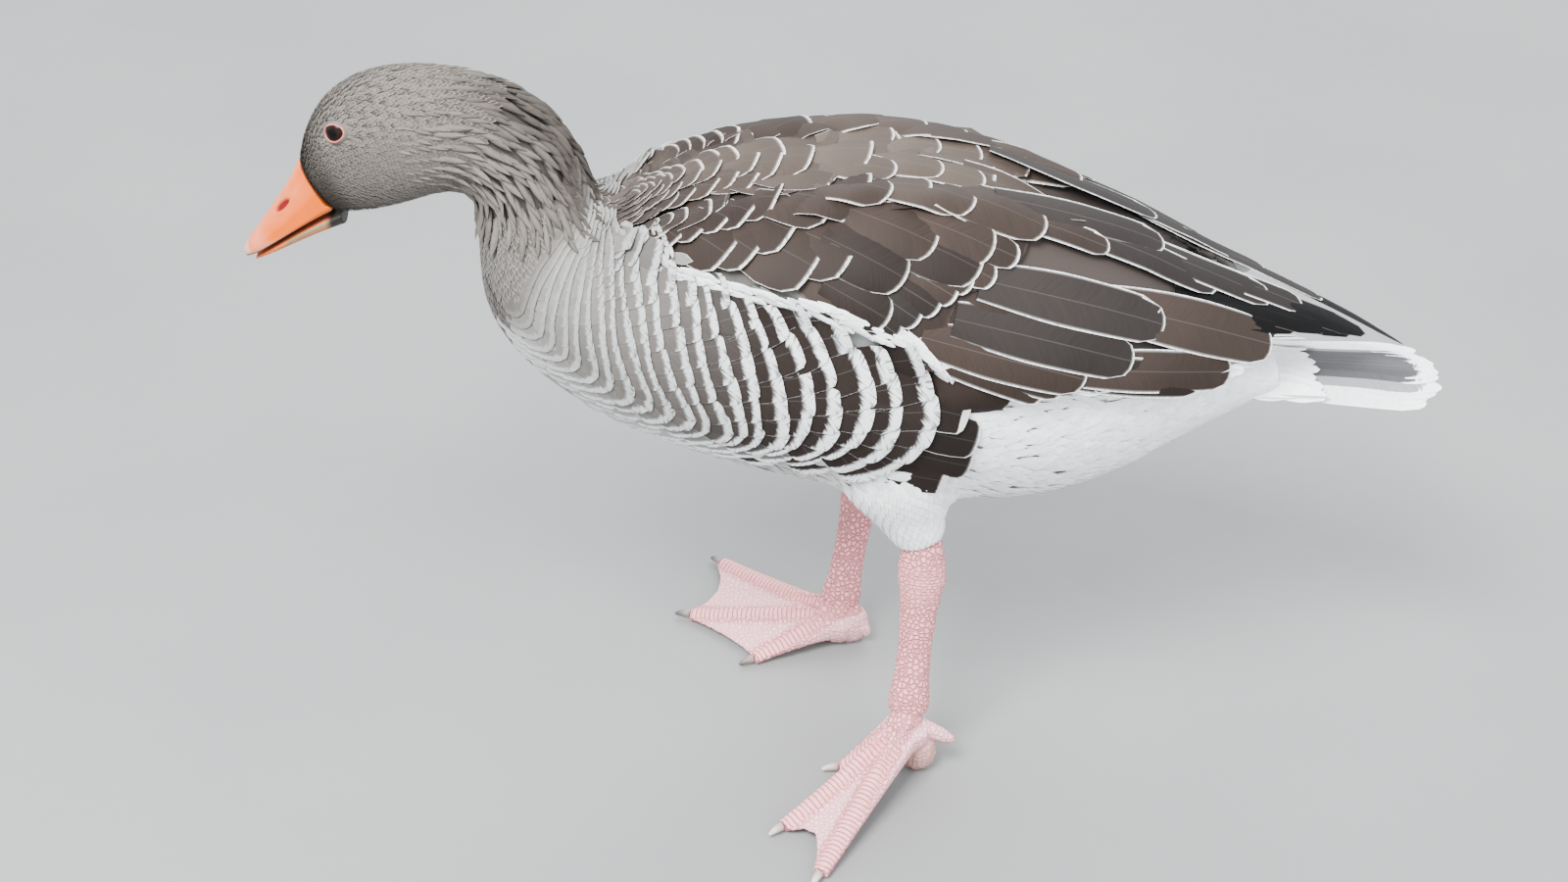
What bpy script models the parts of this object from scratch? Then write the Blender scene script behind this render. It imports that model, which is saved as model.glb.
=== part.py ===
"""A life-size greylag-type domestic goose in mid-stride, as a still museum model.

Metres, +Z up. The goose walks towards -X, so its left side faces -Y. It is
modelled about its own midline, and at the end every piece is moved so that
the origin lies on the floor under the middle of the whole goose.
"""

import math

import bmesh
import bpy
import numpy as np
from mathutils import Matrix, Vector

# ---- driving dimensions -----------------------------------------------------

GAP = 0.0004  # clear space between neighbouring pieces
GROW = 0.0006  # how far a cutter stands out from the piece that it copies

# Profile stations along the body, from the bill's base to the tail's root. Each is
# (dorsal x, dorsal z, ventral x, ventral z, half width, widest level, fullness). The
# level is a share of the way from the dorsal to the ventral point, and a fullness
# under 1 makes the section squarer than an ellipse.
BODY = (
    (-0.3140, 0.3770, -0.2945, 0.3450, 0.0150, 0.52, 0.80),  # 0 bill's base
    (-0.3090, 0.3950, -0.2860, 0.3450, 0.0200, 0.50, 0.80),  # 1 forehead
    (-0.2970, 0.4150, -0.2755, 0.3460, 0.0242, 0.46, 0.80),  # 2 eyes
    (-0.2770, 0.4290, -0.2610, 0.3490, 0.0270, 0.50, 0.85),  # 3 crown and cheeks
    (-0.2530, 0.4345, -0.2470, 0.3535, 0.0282, 0.52, 0.90),  # 4 back of the head
    (-0.2300, 0.4335, -0.2350, 0.3575, 0.0290, 0.50, 0.95),  # 5 nape
    (-0.2060, 0.4270, -0.2250, 0.3595, 0.0299, 0.50, 1.00),  # 6 top of the neck
    (-0.1850, 0.4165, -0.2180, 0.3600, 0.0309, 0.50, 1.00),  # 7 neck's bend
    (-0.1680, 0.4020, -0.2140, 0.3580, 0.0322, 0.50, 1.00),  # 8
    (-0.1560, 0.3840, -0.2128, 0.3525, 0.0336, 0.50, 1.00),  # 9
    (-0.1485, 0.3650, -0.2130, 0.3440, 0.0360, 0.50, 1.00),  # 10
    (-0.1440, 0.3510, -0.2140, 0.3330, 0.0395, 0.50, 1.00),  # 11 notch at the shoulders
    (-0.1370, 0.3470, -0.2145, 0.3150, 0.0465, 0.50, 1.00),  # 12 base of the neck
    (-0.1220, 0.3520, -0.2125, 0.2890, 0.0565, 0.50, 1.00),  # 13
    (-0.0990, 0.3630, -0.2015, 0.2650, 0.0690, 0.49, 1.00),  # 14 shoulders
    (-0.0690, 0.3735, -0.1800, 0.2415, 0.0820, 0.49, 0.98),  # 15 breast
    (-0.0350, 0.3800, -0.1420, 0.2160, 0.0935, 0.50, 0.96),  # 16
    (0.0050, 0.3825, -0.0840, 0.1910, 0.1005, 0.52, 0.95),  # 17 back's top
    (0.0450, 0.3790, -0.0180, 0.1735, 0.1040, 0.54, 0.95),  # 18
    (0.0840, 0.3690, 0.0450, 0.1640, 0.1020, 0.54, 0.95),  # 19 belly
    (0.1240, 0.3520, 0.1080, 0.1600, 0.0930, 0.52, 0.95),  # 20
    (0.1640, 0.3270, 0.1620, 0.1730, 0.0780, 0.48, 0.96),  # 21 vent
    (0.2040, 0.2960, 0.2080, 0.1980, 0.0580, 0.44, 1.00),  # 22 rump
    (0.2380, 0.2700, 0.2430, 0.2190, 0.0430, 0.44, 1.00),  # 23
    (0.2600, 0.2560, 0.2620, 0.2320, 0.0340, 0.46, 1.00),  # 24 tail's root
)
HEAD_SPAN = (0.0, 5.6)
UPPER_NECK_SPAN = (5.6, 9.0)
LOWER_NECK_SPAN = (9.0, 12.0)
TRUNK_SPAN = (12.0, 24.0)

# Stations of the roof that the folded wings make over the body, in the same form.
WING_ROOF = (
    (-0.1130, 0.3625, -0.2080, 0.2750, 0.0670, 0.48, 1.00),
    (-0.0850, 0.3755, -0.1850, 0.2380, 0.0840, 0.48, 0.98),
    (-0.0450, 0.3845, -0.1450, 0.2130, 0.0985, 0.49, 0.96),
    (0.0000, 0.3885, -0.0850, 0.1900, 0.1090, 0.51, 0.95),
    (0.0420, 0.3855, -0.0180, 0.1750, 0.1125, 0.53, 0.95),
    (0.0850, 0.3750, 0.0450, 0.1680, 0.1110, 0.53, 0.95),
    (0.1300, 0.3570, 0.1080, 0.1700, 0.1030, 0.52, 0.95),
    (0.1750, 0.3360, 0.1620, 0.1880, 0.0890, 0.52, 0.96),
    (0.2220, 0.3110, 0.2120, 0.2100, 0.0680, 0.53, 1.00),
    (0.2680, 0.2885, 0.2640, 0.2220, 0.0440, 0.52, 1.00),
    (0.3120, 0.2655, 0.3100, 0.2200, 0.0260, 0.50, 1.00),
    (0.3450, 0.2460, 0.3440, 0.2200, 0.0120, 0.50, 1.00),
)
# Edges of one wing on that roof, in degrees down from the ridge, per station.
WING_TOP = (34, 27, 20, 16, 14, 12, 9, 6, 3, 0, 0, 0)
WING_LOW = (46, 54, 58, 63, 69, 78, 81, 81, 80, 79, 78, 77)
WING_THICK = 0.0150  # of the wing's plate where it lies on the body, before the body is cut out
BLADE_THICK = 0.0032  # of the flight feathers behind the rump
BLADE_FROM, BLADE_FULL = 6.5, 8.5  # stations where the plate thins to the flight feathers
WING_SPAN = 11.0
LEFT_WING_SPAN = 10.2  # the left wing's tip stops short of the right one's
LEFT_INSET = 5.0  # degrees by which the left wing keeps clear of the ridge

TAIL_ROOT = Vector((0.2250, 0.0, 0.2420))
TAIL_TIP_X, TAIL_TIP_Z = 0.3660, 0.2300
TAIL_ROOT_HALF, TAIL_TIP_HALF = 0.0320, 0.0420
TAIL_THICK_ROOT, TAIL_THICK_TIP = 0.0140, 0.0024
TAIL_ROUND = 0.0220  # how far the middle feathers pass the outer ones
TAIL_ARCH = 0.0030  # how far the outer feathers droop

# The bill, as stations of the same form. The upper one's last is its nail.
UPPER_BILL = (
    (-0.3148, 0.3765, -0.2925, 0.3490, 0.0146, 0.84, 0.80),
    (-0.3225, 0.3625, -0.3060, 0.3425, 0.0150, 0.86, 0.80),
    (-0.3325, 0.3480, -0.3195, 0.3345, 0.0142, 0.86, 0.82),
    (-0.3425, 0.3345, -0.3325, 0.3260, 0.0126, 0.84, 0.85),
    (-0.3500, 0.3245, -0.3430, 0.3188, 0.0100, 0.80, 0.90),
    (-0.3538, 0.3180, -0.3500, 0.3145, 0.0056, 0.70, 1.00),
)
LOWER_BILL = (
    (-0.2920, 0.3475, -0.2905, 0.3365, 0.0122, 0.25, 1.00),
    (-0.3055, 0.3412, -0.3040, 0.3315, 0.0126, 0.25, 1.00),
    (-0.3190, 0.3332, -0.3185, 0.3250, 0.0118, 0.25, 1.00),
    (-0.3318, 0.3248, -0.3325, 0.3182, 0.0102, 0.25, 1.00),
    (-0.3410, 0.3182, -0.3425, 0.3135, 0.0072, 0.30, 1.00),
    (-0.3462, 0.3140, -0.3470, 0.3112, 0.0040, 0.40, 1.00),
)

EYE_STATION, EYE_ANGLE = 2.30, 57.0  # place on the head, in degrees from the crown
EYE_RADIUS, EYE_DEPTH = 0.0088, 0.0068

# Joints of the legs, from inside the thigh's feathers to the toes' root.
LEFT_LEG = {
    "knee": Vector((0.0300, -0.0600, 0.2150)),
    "cuff": Vector((0.0480, -0.0710, 0.1540)),
    "ankle": Vector((0.0493, -0.0750, 0.1300)),
    "toes": Vector((0.0412, -0.1000, 0.0360)),
}
RIGHT_LEG = {
    "knee": Vector((0.0010, 0.0560, 0.2050)),
    "cuff": Vector((0.0150, 0.0570, 0.1330)),
    "ankle": Vector((0.0170, 0.0570, 0.1080)),
    "toes": Vector((0.0010, 0.0300, 0.0200)),
}
THIGH_TOP, THIGH_CUFF = 0.0400, 0.0140
THIGH_SHARES = (0.0, 0.35, 0.70, 0.93, 1.0)  # places down the thigh, and its size there
THIGH_SIZES = (THIGH_TOP, THIGH_TOP * 0.86, THIGH_TOP * 0.55, THIGH_CUFF * 1.12, THIGH_CUFF)
THIGH_FLAT = 0.86  # the thigh's width as a share of its depth
ANKLE_HALF, SHANK_HALF, SHANK_END_HALF = 0.0150, 0.0105, 0.0125
SHANK_STOP = 0.0100  # how far above the toes' joint the shank ends
SHANK_FLAT = 0.78  # the shank's width as a share of its depth
SHANK_SHARES = (0.0, 0.10, 0.24, 0.50, 0.76, 0.92, 1.0)  # places from the ankle down
SHANK_SIZES = (
    ANKLE_HALF,
    ANKLE_HALF * 0.88,
    SHANK_HALF * 1.10,
    SHANK_HALF,
    SHANK_HALF * 1.05,
    SHANK_END_HALF * 1.05,
    SHANK_END_HALF,
)

# Toes, inner to outer, and half the width of each one's ridge.
TOES = (("inner", 0.0044), ("middle", 0.0050), ("outer", 0.0054))
# Places of the toes' ends, where the claws begin.
LEFT_TIPS = {
    "inner": Vector((0.0000, -0.1040, 0.0032)),
    "middle": Vector((-0.0350, -0.1580, 0.0036)),
    "outer": Vector((-0.0130, -0.1985, 0.0039)),
}
RIGHT_TIPS = {
    "inner": Vector((-0.0545, 0.0030, 0.0032)),
    "middle": Vector((-0.0980, 0.0505, 0.0036)),
    "outer": Vector((-0.0780, 0.1080, 0.0039)),
}
TOE_ROOT = 0.0080  # how far from the joint's middle the toes begin
TOE_BEND, TOE_BEND_RISE = 0.50, 0.30  # where a toe turns level, and how high it is there
FOOT_SHARES = (0.16, 0.34, 0.55, 0.76, 0.91, 1.0)  # rings of the foot, along the toes
TOES_PART = 0.42  # share of the toes' length by which they stand clear of each other
CLAW_LENGTH, CLAW_RADIUS = 0.0110, 0.0030
WEB_HALF = 0.0010
TOE_EDGE = 1.1  # where a toe's ridge runs out into the web, in ridge half widths
# How far each web's edge is drawn in between its toes, inner web and outer web.
LEFT_WEBS, RIGHT_WEBS = (0.0, 0.15), (0.06, 0.11)
PAD_HALF, PAD_REACH, PAD_DROP = 0.0100, 0.0150, 0.0035
PAD_SHARES = (0.16, 0.28, 0.40, 0.50, 0.60, 0.72, 0.84)  # places round the heel
LEFT_BALL, RIGHT_BALL = Vector((0.0487, -0.0985, 0.0137)), Vector((0.0100, 0.0300, 0.0130))
BALL_SIZE = Vector((0.0125, 0.0115, 0.0150))
# Hind toes: root and tip, and the radius.
LEFT_HIND = (Vector((0.0480, -0.1000, 0.0350)), Vector((0.0715, -0.0980, 0.0200)))
RIGHT_HIND = (Vector((0.0110, 0.0305, 0.0200)), Vector((0.0220, 0.0220, 0.0085)))
HIND_RADIUS = 0.0046

# ---- materials --------------------------------------------------------------

FINISHES = {
    "grey_plumage": ((0.215, 0.190, 0.170), 0.75),
    "pale_plumage": ((0.560, 0.540, 0.515), 0.80),
    "wing_plumage": ((0.115, 0.088, 0.072), 0.60),
    "tail_plumage": ((0.700, 0.690, 0.680), 0.70),
    "leg_skin": ((0.780, 0.400, 0.380), 0.50),
    "bill_horn": ((0.860, 0.330, 0.130), 0.40),
    "eye_glass": ((0.020, 0.010, 0.008), 0.06),
    "claw_horn": ((0.230, 0.180, 0.160), 0.40),
}


def finish(name):
    """The named material, made once."""
    found = bpy.data.materials.get(name)
    if found:
        return found
    colour, roughness = FINISHES[name]
    material = bpy.data.materials.new(name)
    material.use_nodes = True
    shader = material.node_tree.nodes["Principled BSDF"]
    shader.inputs["Base Color"].default_value = (*colour, 1.0)
    shader.inputs["Roughness"].default_value = roughness
    material.diffuse_color = (*colour, 1.0)
    return material


# ---- shape helpers ----------------------------------------------------------


def along(stations, s):
    """The stations' values at place s, on a smooth curve through them."""
    table = np.asarray(stations, float)
    last = len(table) - 1
    i = min(max(int(math.floor(s)), 0), last - 1)
    f = s - i
    a, b = table[max(i - 1, 0)], table[i]
    c, d = table[i + 1], table[min(i + 2, last)]
    return 0.5 * (
        2 * b
        + (c - a) * f
        + (2 * a - 5 * b + 4 * c - d) * f**2
        + (3 * b - a - 3 * c + d) * f**3
    )


def section_point(stations, s, degrees, side=-1.0):
    """A point on the section at place s, this far round from its dorsal point."""
    dx, dz, vx, vz, half, level, fullness = along(stations, s)
    t = math.radians(degrees)
    rise, out = math.cos(t), math.sin(t)
    reach = level if rise > 0.0 else 1.0 - level
    share = level - rise * reach
    out = math.copysign(abs(out) ** fullness, out)
    return Vector((dx + (vx - dx) * share, side * half * out, dz + (vz - dz) * share))


def section_normal(stations, s, degrees, side=-1.0):
    """The outward normal of the surface through the sections."""
    step = 0.02
    across = section_point(stations, s, degrees + 1.0, side)
    across -= section_point(stations, s, degrees - 1.0, side)
    lengthways = section_point(stations, s + step, degrees, side)
    lengthways -= section_point(stations, s - step, degrees, side)
    return (lengthways.cross(across) * side).normalized()


def ring_points(stations, s, count):
    """A closed ring of points round the section at place s."""
    return [section_point(stations, s, 360.0 * i / count, 1.0) for i in range(count)]


def new_object(name, bm, material):
    """An object made from a finished bmesh, with its faces pointing outwards."""
    bmesh.ops.recalc_face_normals(bm, faces=bm.faces)
    mesh = bpy.data.meshes.new(name)
    bm.to_mesh(mesh)
    bm.free()
    mesh.shade_smooth()
    mesh.set_sharp_from_angle(angle=math.radians(50))
    mesh.materials.append(finish(material))
    made = bpy.data.objects.new(name, mesh)
    bpy.context.scene.collection.objects.link(made)
    return made


def close_end(bm, ring):
    """Closes a ring of vertices with a strip of faces from its one half to its other."""
    count = len(ring)
    for i in range(count // 2 - 1):
        bm.faces.new((ring[i], ring[i + 1], ring[count - 2 - i], ring[count - 1 - i]))


def skinned_rings(rings):
    """A closed bmesh through rings of points, each with as many points."""
    count = len(rings[0])
    bm = bmesh.new()
    ring = bmesh.ops.create_circle(bm, segments=count, radius=1.0)["verts"]
    for vertex, place in zip(ring, rings[0]):
        vertex.co = place
    close_end(bm, ring)
    for places in rings[1:]:
        edges = [bm.edges.get((ring[i], ring[(i + 1) % count])) for i in range(count)]
        made = bmesh.ops.extrude_edge_only(bm, edges=edges)["geom"]
        fresh = {v for v in made if isinstance(v, bmesh.types.BMVert)}
        ring = [next(e.other_vert(v) for e in v.link_edges if e.other_vert(v) in fresh) for v in ring]
        for vertex, place in zip(ring, places):
            vertex.co = place
    close_end(bm, ring)
    return bm


def span_rings(stations, span, rings, count, lead=0.0):
    """Rings over a span of the stations. The first one is set back by lead."""
    start, end = span
    found = []
    for i in range(rings):
        found.append(ring_points(stations, start + (end - start) * i / (rings - 1), count))
    if lead:
        first, later = found[0], found[1]
        normal = (first[count // 4] - first[0]).cross(first[count // 2] - first[0]).normalized()
        if normal.dot(sum(later, Vector()) - sum(first, Vector())) < 0:
            normal = -normal
        found[0] = [p + normal * lead for p in first]
    return found


def tube_rings(path, halves, count, side=Vector((0, 1, 0))):
    """Rings round a path. Each half is (across, along the side vector)."""
    found = []
    for i, (centre, (deep, wide)) in enumerate(zip(path, halves)):
        ahead = (path[min(i + 1, len(path) - 1)] - path[max(i - 1, 0)]).normalized()
        out = (side - ahead * side.dot(ahead)).normalized()
        front = ahead.cross(out)
        found.append(
            [
                centre
                + front * deep * math.cos(2 * math.pi * k / count)
                + out * wide * math.sin(2 * math.pi * k / count)
                for k in range(count)
            ]
        )
    return found


def combine(target, other, operation):
    """Applies a Boolean of other to target, and removes other."""
    modifier = target.modifiers.new("Boolean", "BOOLEAN")
    modifier.operation = operation
    modifier.solver = "EXACT"
    modifier.object = other
    graph = bpy.context.evaluated_depsgraph_get()
    mesh = bpy.data.meshes.new_from_object(target.evaluated_get(graph))
    target.modifiers.clear()
    target.data = mesh
    bpy.data.objects.remove(other)
    return target


def grown_copy(source, by):
    """A copy of a piece, each of its points moved outwards."""
    bm = bmesh.new()
    bm.from_mesh(source.data)
    bm.normal_update()
    for vertex, normal in [(v, v.normal.copy()) for v in bm.verts]:
        vertex.co += normal * by
    return new_object(source.name + "_cutter", bm, source.data.materials[0].name)


def cut_clear(target, *others):
    """Cuts the neighbours, a little grown, out of a piece."""
    for other in others:
        combine(target, grown_copy(other, GROW), "DIFFERENCE")
    return target


# ---- pieces -----------------------------------------------------------------


def build_lofts():
    """The head, the neck in two lengths and the trunk, parted by thin cuts."""
    head = new_object("head", skinned_rings(span_rings(BODY, HEAD_SPAN, 14, 22)), "grey_plumage")
    upper = skinned_rings(span_rings(BODY, UPPER_NECK_SPAN, 9, 22, GAP))
    lower = skinned_rings(span_rings(BODY, LOWER_NECK_SPAN, 8, 22, GAP))
    trunk = skinned_rings(span_rings(BODY, TRUNK_SPAN, 27, 30, GAP))
    new_object("neck_upper", upper, "grey_plumage")
    new_object("neck_lower", lower, "grey_plumage")
    return head, new_object("trunk", trunk, "pale_plumage")


def build_eyes(head):
    """Two eyeballs, each in a socket cut from the head."""
    for name, side in (("eye_left", -1.0), ("eye_right", 1.0)):
        place = section_point(BODY, EYE_STATION, EYE_ANGLE, side)
        inwards = -section_normal(BODY, EYE_STATION, EYE_ANGLE, side)
        centre = place + inwards * EYE_DEPTH
        for label, radius in ((name, EYE_RADIUS), ("socket", EYE_RADIUS + GAP)):
            bm = bmesh.new()
            bmesh.ops.create_uvsphere(bm, u_segments=16, v_segments=10, radius=radius)
            turn = inwards.to_track_quat("-Z", "Y").to_matrix().to_4x4()
            bmesh.ops.transform(bm, matrix=Matrix.Translation(centre) @ turn, verts=bm.verts)
            made = new_object(label, bm, "eye_glass")
        combine(head, made, "DIFFERENCE")


def build_bill(head):
    """The two halves of the bill, butted against the head."""
    for name, stations in (("bill_upper", UPPER_BILL), ("bill_lower", LOWER_BILL)):
        span = (0.0, len(stations) - 1.0)
        bill = new_object(name, skinned_rings(span_rings(stations, span, 12, 16)), "bill_horn")
        cut_clear(bill, head)


def wing_point(s, share, inset, side):
    """A point of a wing's outer face, along it by s and down it by share, and its normal."""
    top = along(np.array(WING_TOP, float)[:, None], s)[0] + inset
    low = along(np.array(WING_LOW, float)[:, None], s)[0]
    degrees = top + (low - top) * share
    normal = section_normal(WING_ROOF, s, max(degrees, 2.0), side)
    return section_point(WING_ROOF, s, degrees, side), normal


def build_wing(name, side, span, inset, trunk):
    """A folded wing: a plate on the body that runs out into the flight feathers."""
    lengths, widths = 23, 8
    rings = []
    for i in range(lengths):
        s = span * i / (lengths - 1)
        rear = min(max((s - BLADE_FROM) / (BLADE_FULL - BLADE_FROM), 0.0), 1.0)
        thick = WING_THICK + (BLADE_THICK - WING_THICK) * rear
        places = [wing_point(s, j / (widths - 1), inset, side) for j in range(widths)]
        inner = [p - n * thick for p, n in places]
        rings.append([p for p, _ in places] + inner[::-1])
    return cut_clear(new_object(name, skinned_rings(rings), "wing_plumage"), trunk)


def build_tail(trunk):
    """A shallow fan of tail feathers with a rounded end."""
    rows, columns = 9, 13
    rings = []
    for i in range(rows):
        f = i / (rows - 1)
        half = TAIL_ROOT_HALF + (TAIL_TIP_HALF - TAIL_ROOT_HALF) * f
        thick = TAIL_THICK_ROOT + (TAIL_THICK_TIP - TAIL_THICK_ROOT) * f
        upper, under = [], []
        for j in range(columns):
            a = 2.0 * j / (columns - 1) - 1.0
            length = TAIL_TIP_X - TAIL_ROOT.x - TAIL_ROUND * a * a
            x = TAIL_ROOT.x + length * f
            z = TAIL_ROOT.z + (TAIL_TIP_Z - TAIL_ROOT.z) * f - TAIL_ARCH * a * a
            lens = thick * (1.0 - 0.6 * a * a) / 2
            upper.append(Vector((x, half * a, z + lens)))
            under.append(Vector((x, half * a, z - lens)))
        rings.append(upper + under[::-1])
    tail = new_object("tail", skinned_rings(rings), "tail_plumage")
    return cut_clear(tail, trunk)


def build_leg(label, joints, neighbours):
    """The feathered thigh and the bare shank of one leg."""
    knee, cuff, ankle, toes = (joints[k] for k in ("knee", "cuff", "ankle", "toes"))
    drop = (cuff - knee).normalized()
    path = [knee - drop * THIGH_TOP / 2] + [knee.lerp(cuff, f) for f in THIGH_SHARES]
    halves = [(r, r * THIGH_FLAT) for r in (THIGH_TOP * 0.7, *THIGH_SIZES)]
    rings = tube_rings(path, halves, 18)
    thigh = new_object("thigh_" + label, skinned_rings(rings), "pale_plumage")
    cut_clear(thigh, *neighbours)
    start = cuff + drop * GAP
    down = (toes - ankle).normalized()
    end = toes - down * SHANK_STOP
    run = end - ankle
    path = [start, start + drop * 0.003, start.lerp(ankle, 0.6)]
    path += [ankle + run * f for f in SHANK_SHARES]
    deep = (THIGH_CUFF * 0.90, THIGH_CUFF * 0.94, ANKLE_HALF * 0.97, *SHANK_SIZES)
    halves = [(r, r * SHANK_FLAT) for r in deep]
    new_object("shank_" + label, skinned_rings(tube_rings(path, halves, 16)), "leg_skin")
    return end, down


def toe_point(joint, tip, s):
    """A point along a toe's middle line, which comes down to the floor and runs out on it."""
    ahead = tip - joint
    ahead.z = 0.0
    root = joint + ahead.normalized() * TOE_ROOT
    bend = root.lerp(tip, TOE_BEND)
    bend.z = tip.z + (root.z - tip.z) * TOE_BEND_RISE
    return root * (1 - s) ** 2 + bend * 2 * s * (1 - s) + tip * s * s


def foot_spokes(joint, tips, side, webs):
    """The lines that fan out from the toes' joint, each as a function of its share.

    A spoke gives the middle point, and the thickness above and below it.
    """
    spokes = []
    names = [t[0] for t in TOES]
    widths = {t[0]: t[1] for t in TOES}

    def toe_place(name, offset, s):
        ahead = (tips[name] - joint).normalized()
        across = Vector((0.0, 0.0, 1.0)).cross(ahead).normalized() * -side
        width = widths[name] * (1.22 - 0.42 * s)
        spread = min(s / TOES_PART, 1.0)
        return toe_point(joint, tips[name], s) + across * offset * width * spread, width

    def toe_spoke(name, offset):
        def spoke(s):
            place, width = toe_place(name, offset, s)
            rise = max(width * math.sqrt(max(1.0 - (0.86 * offset) ** 2, 0.0)), WEB_HALF)
            return place, rise, rise

        return spoke

    def web_spoke(first, second, f, scallop):
        drawn = 1.0 - scallop * math.sin(math.pi * f) ** 0.7

        def spoke(s):
            a, _ = toe_place(first, TOE_EDGE, s * drawn)
            b, _ = toe_place(second, -TOE_EDGE, s * drawn)
            return a.lerp(b, f), WEB_HALF, WEB_HALF

        return spoke

    def pad_spoke(heading):
        out = Vector((math.cos(heading), math.sin(heading), 0.0))

        def spoke(s):
            thick = PAD_HALF * math.sqrt(1.0 - 0.9 * s * s)
            place = joint + out * PAD_REACH * s**0.2 - Vector((0.0, 0.0, PAD_DROP))
            return place, thick * 0.3, thick

        return spoke

    for i, name in enumerate(names):
        spokes += [toe_spoke(name, offset) for offset in (-TOE_EDGE, -0.7, 0.0, 0.7, TOE_EDGE)]
        if i < 2:
            spokes += [web_spoke(name, names[i + 1], f, webs[i]) for f in (0.2, 0.5, 0.8)]
    start, end = (tips[n] - joint for n in (names[-1], names[0]))
    low = math.atan2(start.y, start.x)
    turn = side * (low - math.atan2(end.y, end.x)) % (2 * math.pi) * -side
    spokes += [pad_spoke(low + turn * f) for f in PAD_SHARES]
    return spokes


def build_foot(label, joint, foot, side, shank_end):
    """One webbed foot: three ridged toes with a web between, a pad and a hind toe."""
    tips, webs, ball, hind = foot
    spokes = foot_spokes(joint, tips, side, webs)
    centre, axis = shank_end
    top, headings = [], []
    for spoke in spokes:
        out = spoke(0.5)[0] - joint
        headings.append(Vector((out.x, out.y, 0.0)).normalized())
        out = (out - axis * out.dot(axis)).normalized()
        top.append(centre + out * SHANK_END_HALF * SHANK_FLAT + axis * GAP)
    upper, under = [], []
    for s in FOOT_SHARES:
        swell = PAD_HALF * max(0.0, 1.0 - s / 0.45) ** 1.5
        up, down = [], []
        for spoke in spokes:
            place, above, below = spoke(s)
            up.append(place + Vector((0.0, 0.0, above + 0.35 * swell)))
            low = place - Vector((0.0, 0.0, below + 0.65 * swell))
            low.z = max(low.z, 0.0)
            down.append(low)
        upper.append(up)
        under.append(down)
    middle = Vector((joint.x, joint.y, sum(p.z for p in under[0]) / len(spokes)))
    closing = [middle + out * SHANK_END_HALF * 0.5 for out in headings]
    rings = [top] + upper + under[::-1] + [closing]
    made = new_object("foot_" + label, skinned_rings(rings), "leg_skin")
    combine(made, sole_ball(ball), "UNION")
    combine(made, hind_toe(*hind), "UNION")
    build_claws(label, joint, tips)


def sole_ball(centre):
    """The rounded sole pad behind the toes' joint, flat where it bears on the floor."""
    bm = bmesh.new()
    bmesh.ops.create_icosphere(bm, subdivisions=2, radius=1.0)
    for vertex in bm.verts:
        vertex.co = centre + Vector(a * b for a, b in zip(vertex.co, BALL_SIZE))
    everything = bm.verts[:] + bm.edges[:] + bm.faces[:]
    down = (0.0, 0.0, -1.0)
    cut = bmesh.ops.bisect_plane(bm, geom=everything, plane_no=down, clear_outer=True)
    rim = [e for e in cut["geom_cut"] if isinstance(e, bmesh.types.BMEdge)]
    bmesh.ops.contextual_create(bm, geom=rim)
    return new_object("ball", bm, "leg_skin")


def hind_toe(start, end):
    """The small toe behind the joint, which hangs clear of the floor."""
    path = [start.lerp(end, f) for f in (0.0, 0.35, 0.7, 0.9, 1.0)]
    halves = [(HIND_RADIUS * k, HIND_RADIUS * k) for k in (1.25, 1.15, 1.0, 0.7, 0.35)]
    return new_object("hind_toe", skinned_rings(tube_rings(path, halves, 10)), "leg_skin")


def build_claws(label, joint, tips):
    """A blunt claw at the end of each front toe."""
    for name, _ in TOES:
        ahead = toe_point(joint, tips[name], 1.0) - toe_point(joint, tips[name], 0.9)
        ahead.z = 0.0
        ahead.normalize()
        root = tips[name] + ahead * GAP + Vector((0.0, 0.0, 0.0008))
        path = [root, root + ahead * CLAW_LENGTH * 0.5, root + ahead * CLAW_LENGTH]
        path[2].z -= 0.0016
        halves = [(CLAW_RADIUS * k, CLAW_RADIUS * k) for k in (1.0, 0.85, 0.35)]
        claw = skinned_rings(tube_rings(path, halves, 8))
        new_object(f"claw_{label}_{name}", claw, "claw_horn")


def place_origin():
    """Moves every piece so that the origin is on the floor under the goose's middle."""
    pieces = [o for o in bpy.data.objects if o.type == "MESH"]
    points = np.array([v.co for o in pieces for v in o.data.vertices])
    low, high = points.min(0), points.max(0)
    shift = Vector((-(low[0] + high[0]) / 2, -(low[1] + high[1]) / 2, -low[2]))
    for piece in pieces:
        piece.data.transform(Matrix.Translation(shift))
    print("origin moved by", tuple(round(v, 5) for v in shift))


def main():
    for old in list(bpy.data.objects):
        bpy.data.objects.remove(old)
    head, trunk = build_lofts()
    build_eyes(head)
    build_bill(head)
    wing_left = build_wing("wing_left", -1.0, LEFT_WING_SPAN, LEFT_INSET, trunk)
    wing_right = build_wing("wing_right", 1.0, WING_SPAN, 0.0, trunk)
    build_tail(trunk)
    left_foot = (LEFT_TIPS, LEFT_WEBS, LEFT_BALL, LEFT_HIND)
    right_foot = (RIGHT_TIPS, RIGHT_WEBS, RIGHT_BALL, RIGHT_HIND)
    for label, joints, side, foot, wing in (
        ("left", LEFT_LEG, -1.0, left_foot, wing_left),
        ("right", RIGHT_LEG, 1.0, right_foot, wing_right),
    ):
        shank_end = build_leg(label, joints, (trunk, wing))
        build_foot(label, joints["toes"], foot, side, shank_end)
    place_origin()


main()
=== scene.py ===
"""Looks of a life-size greylag-type domestic goose in mid-stride.

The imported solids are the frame. One skin is laid inside them, and the goose is
dressed tract by tract with solid vanes that lie along the body. Metres, +Z up;
the goose faces -X, and its left side faces -Y.
"""

from __future__ import annotations

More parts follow.
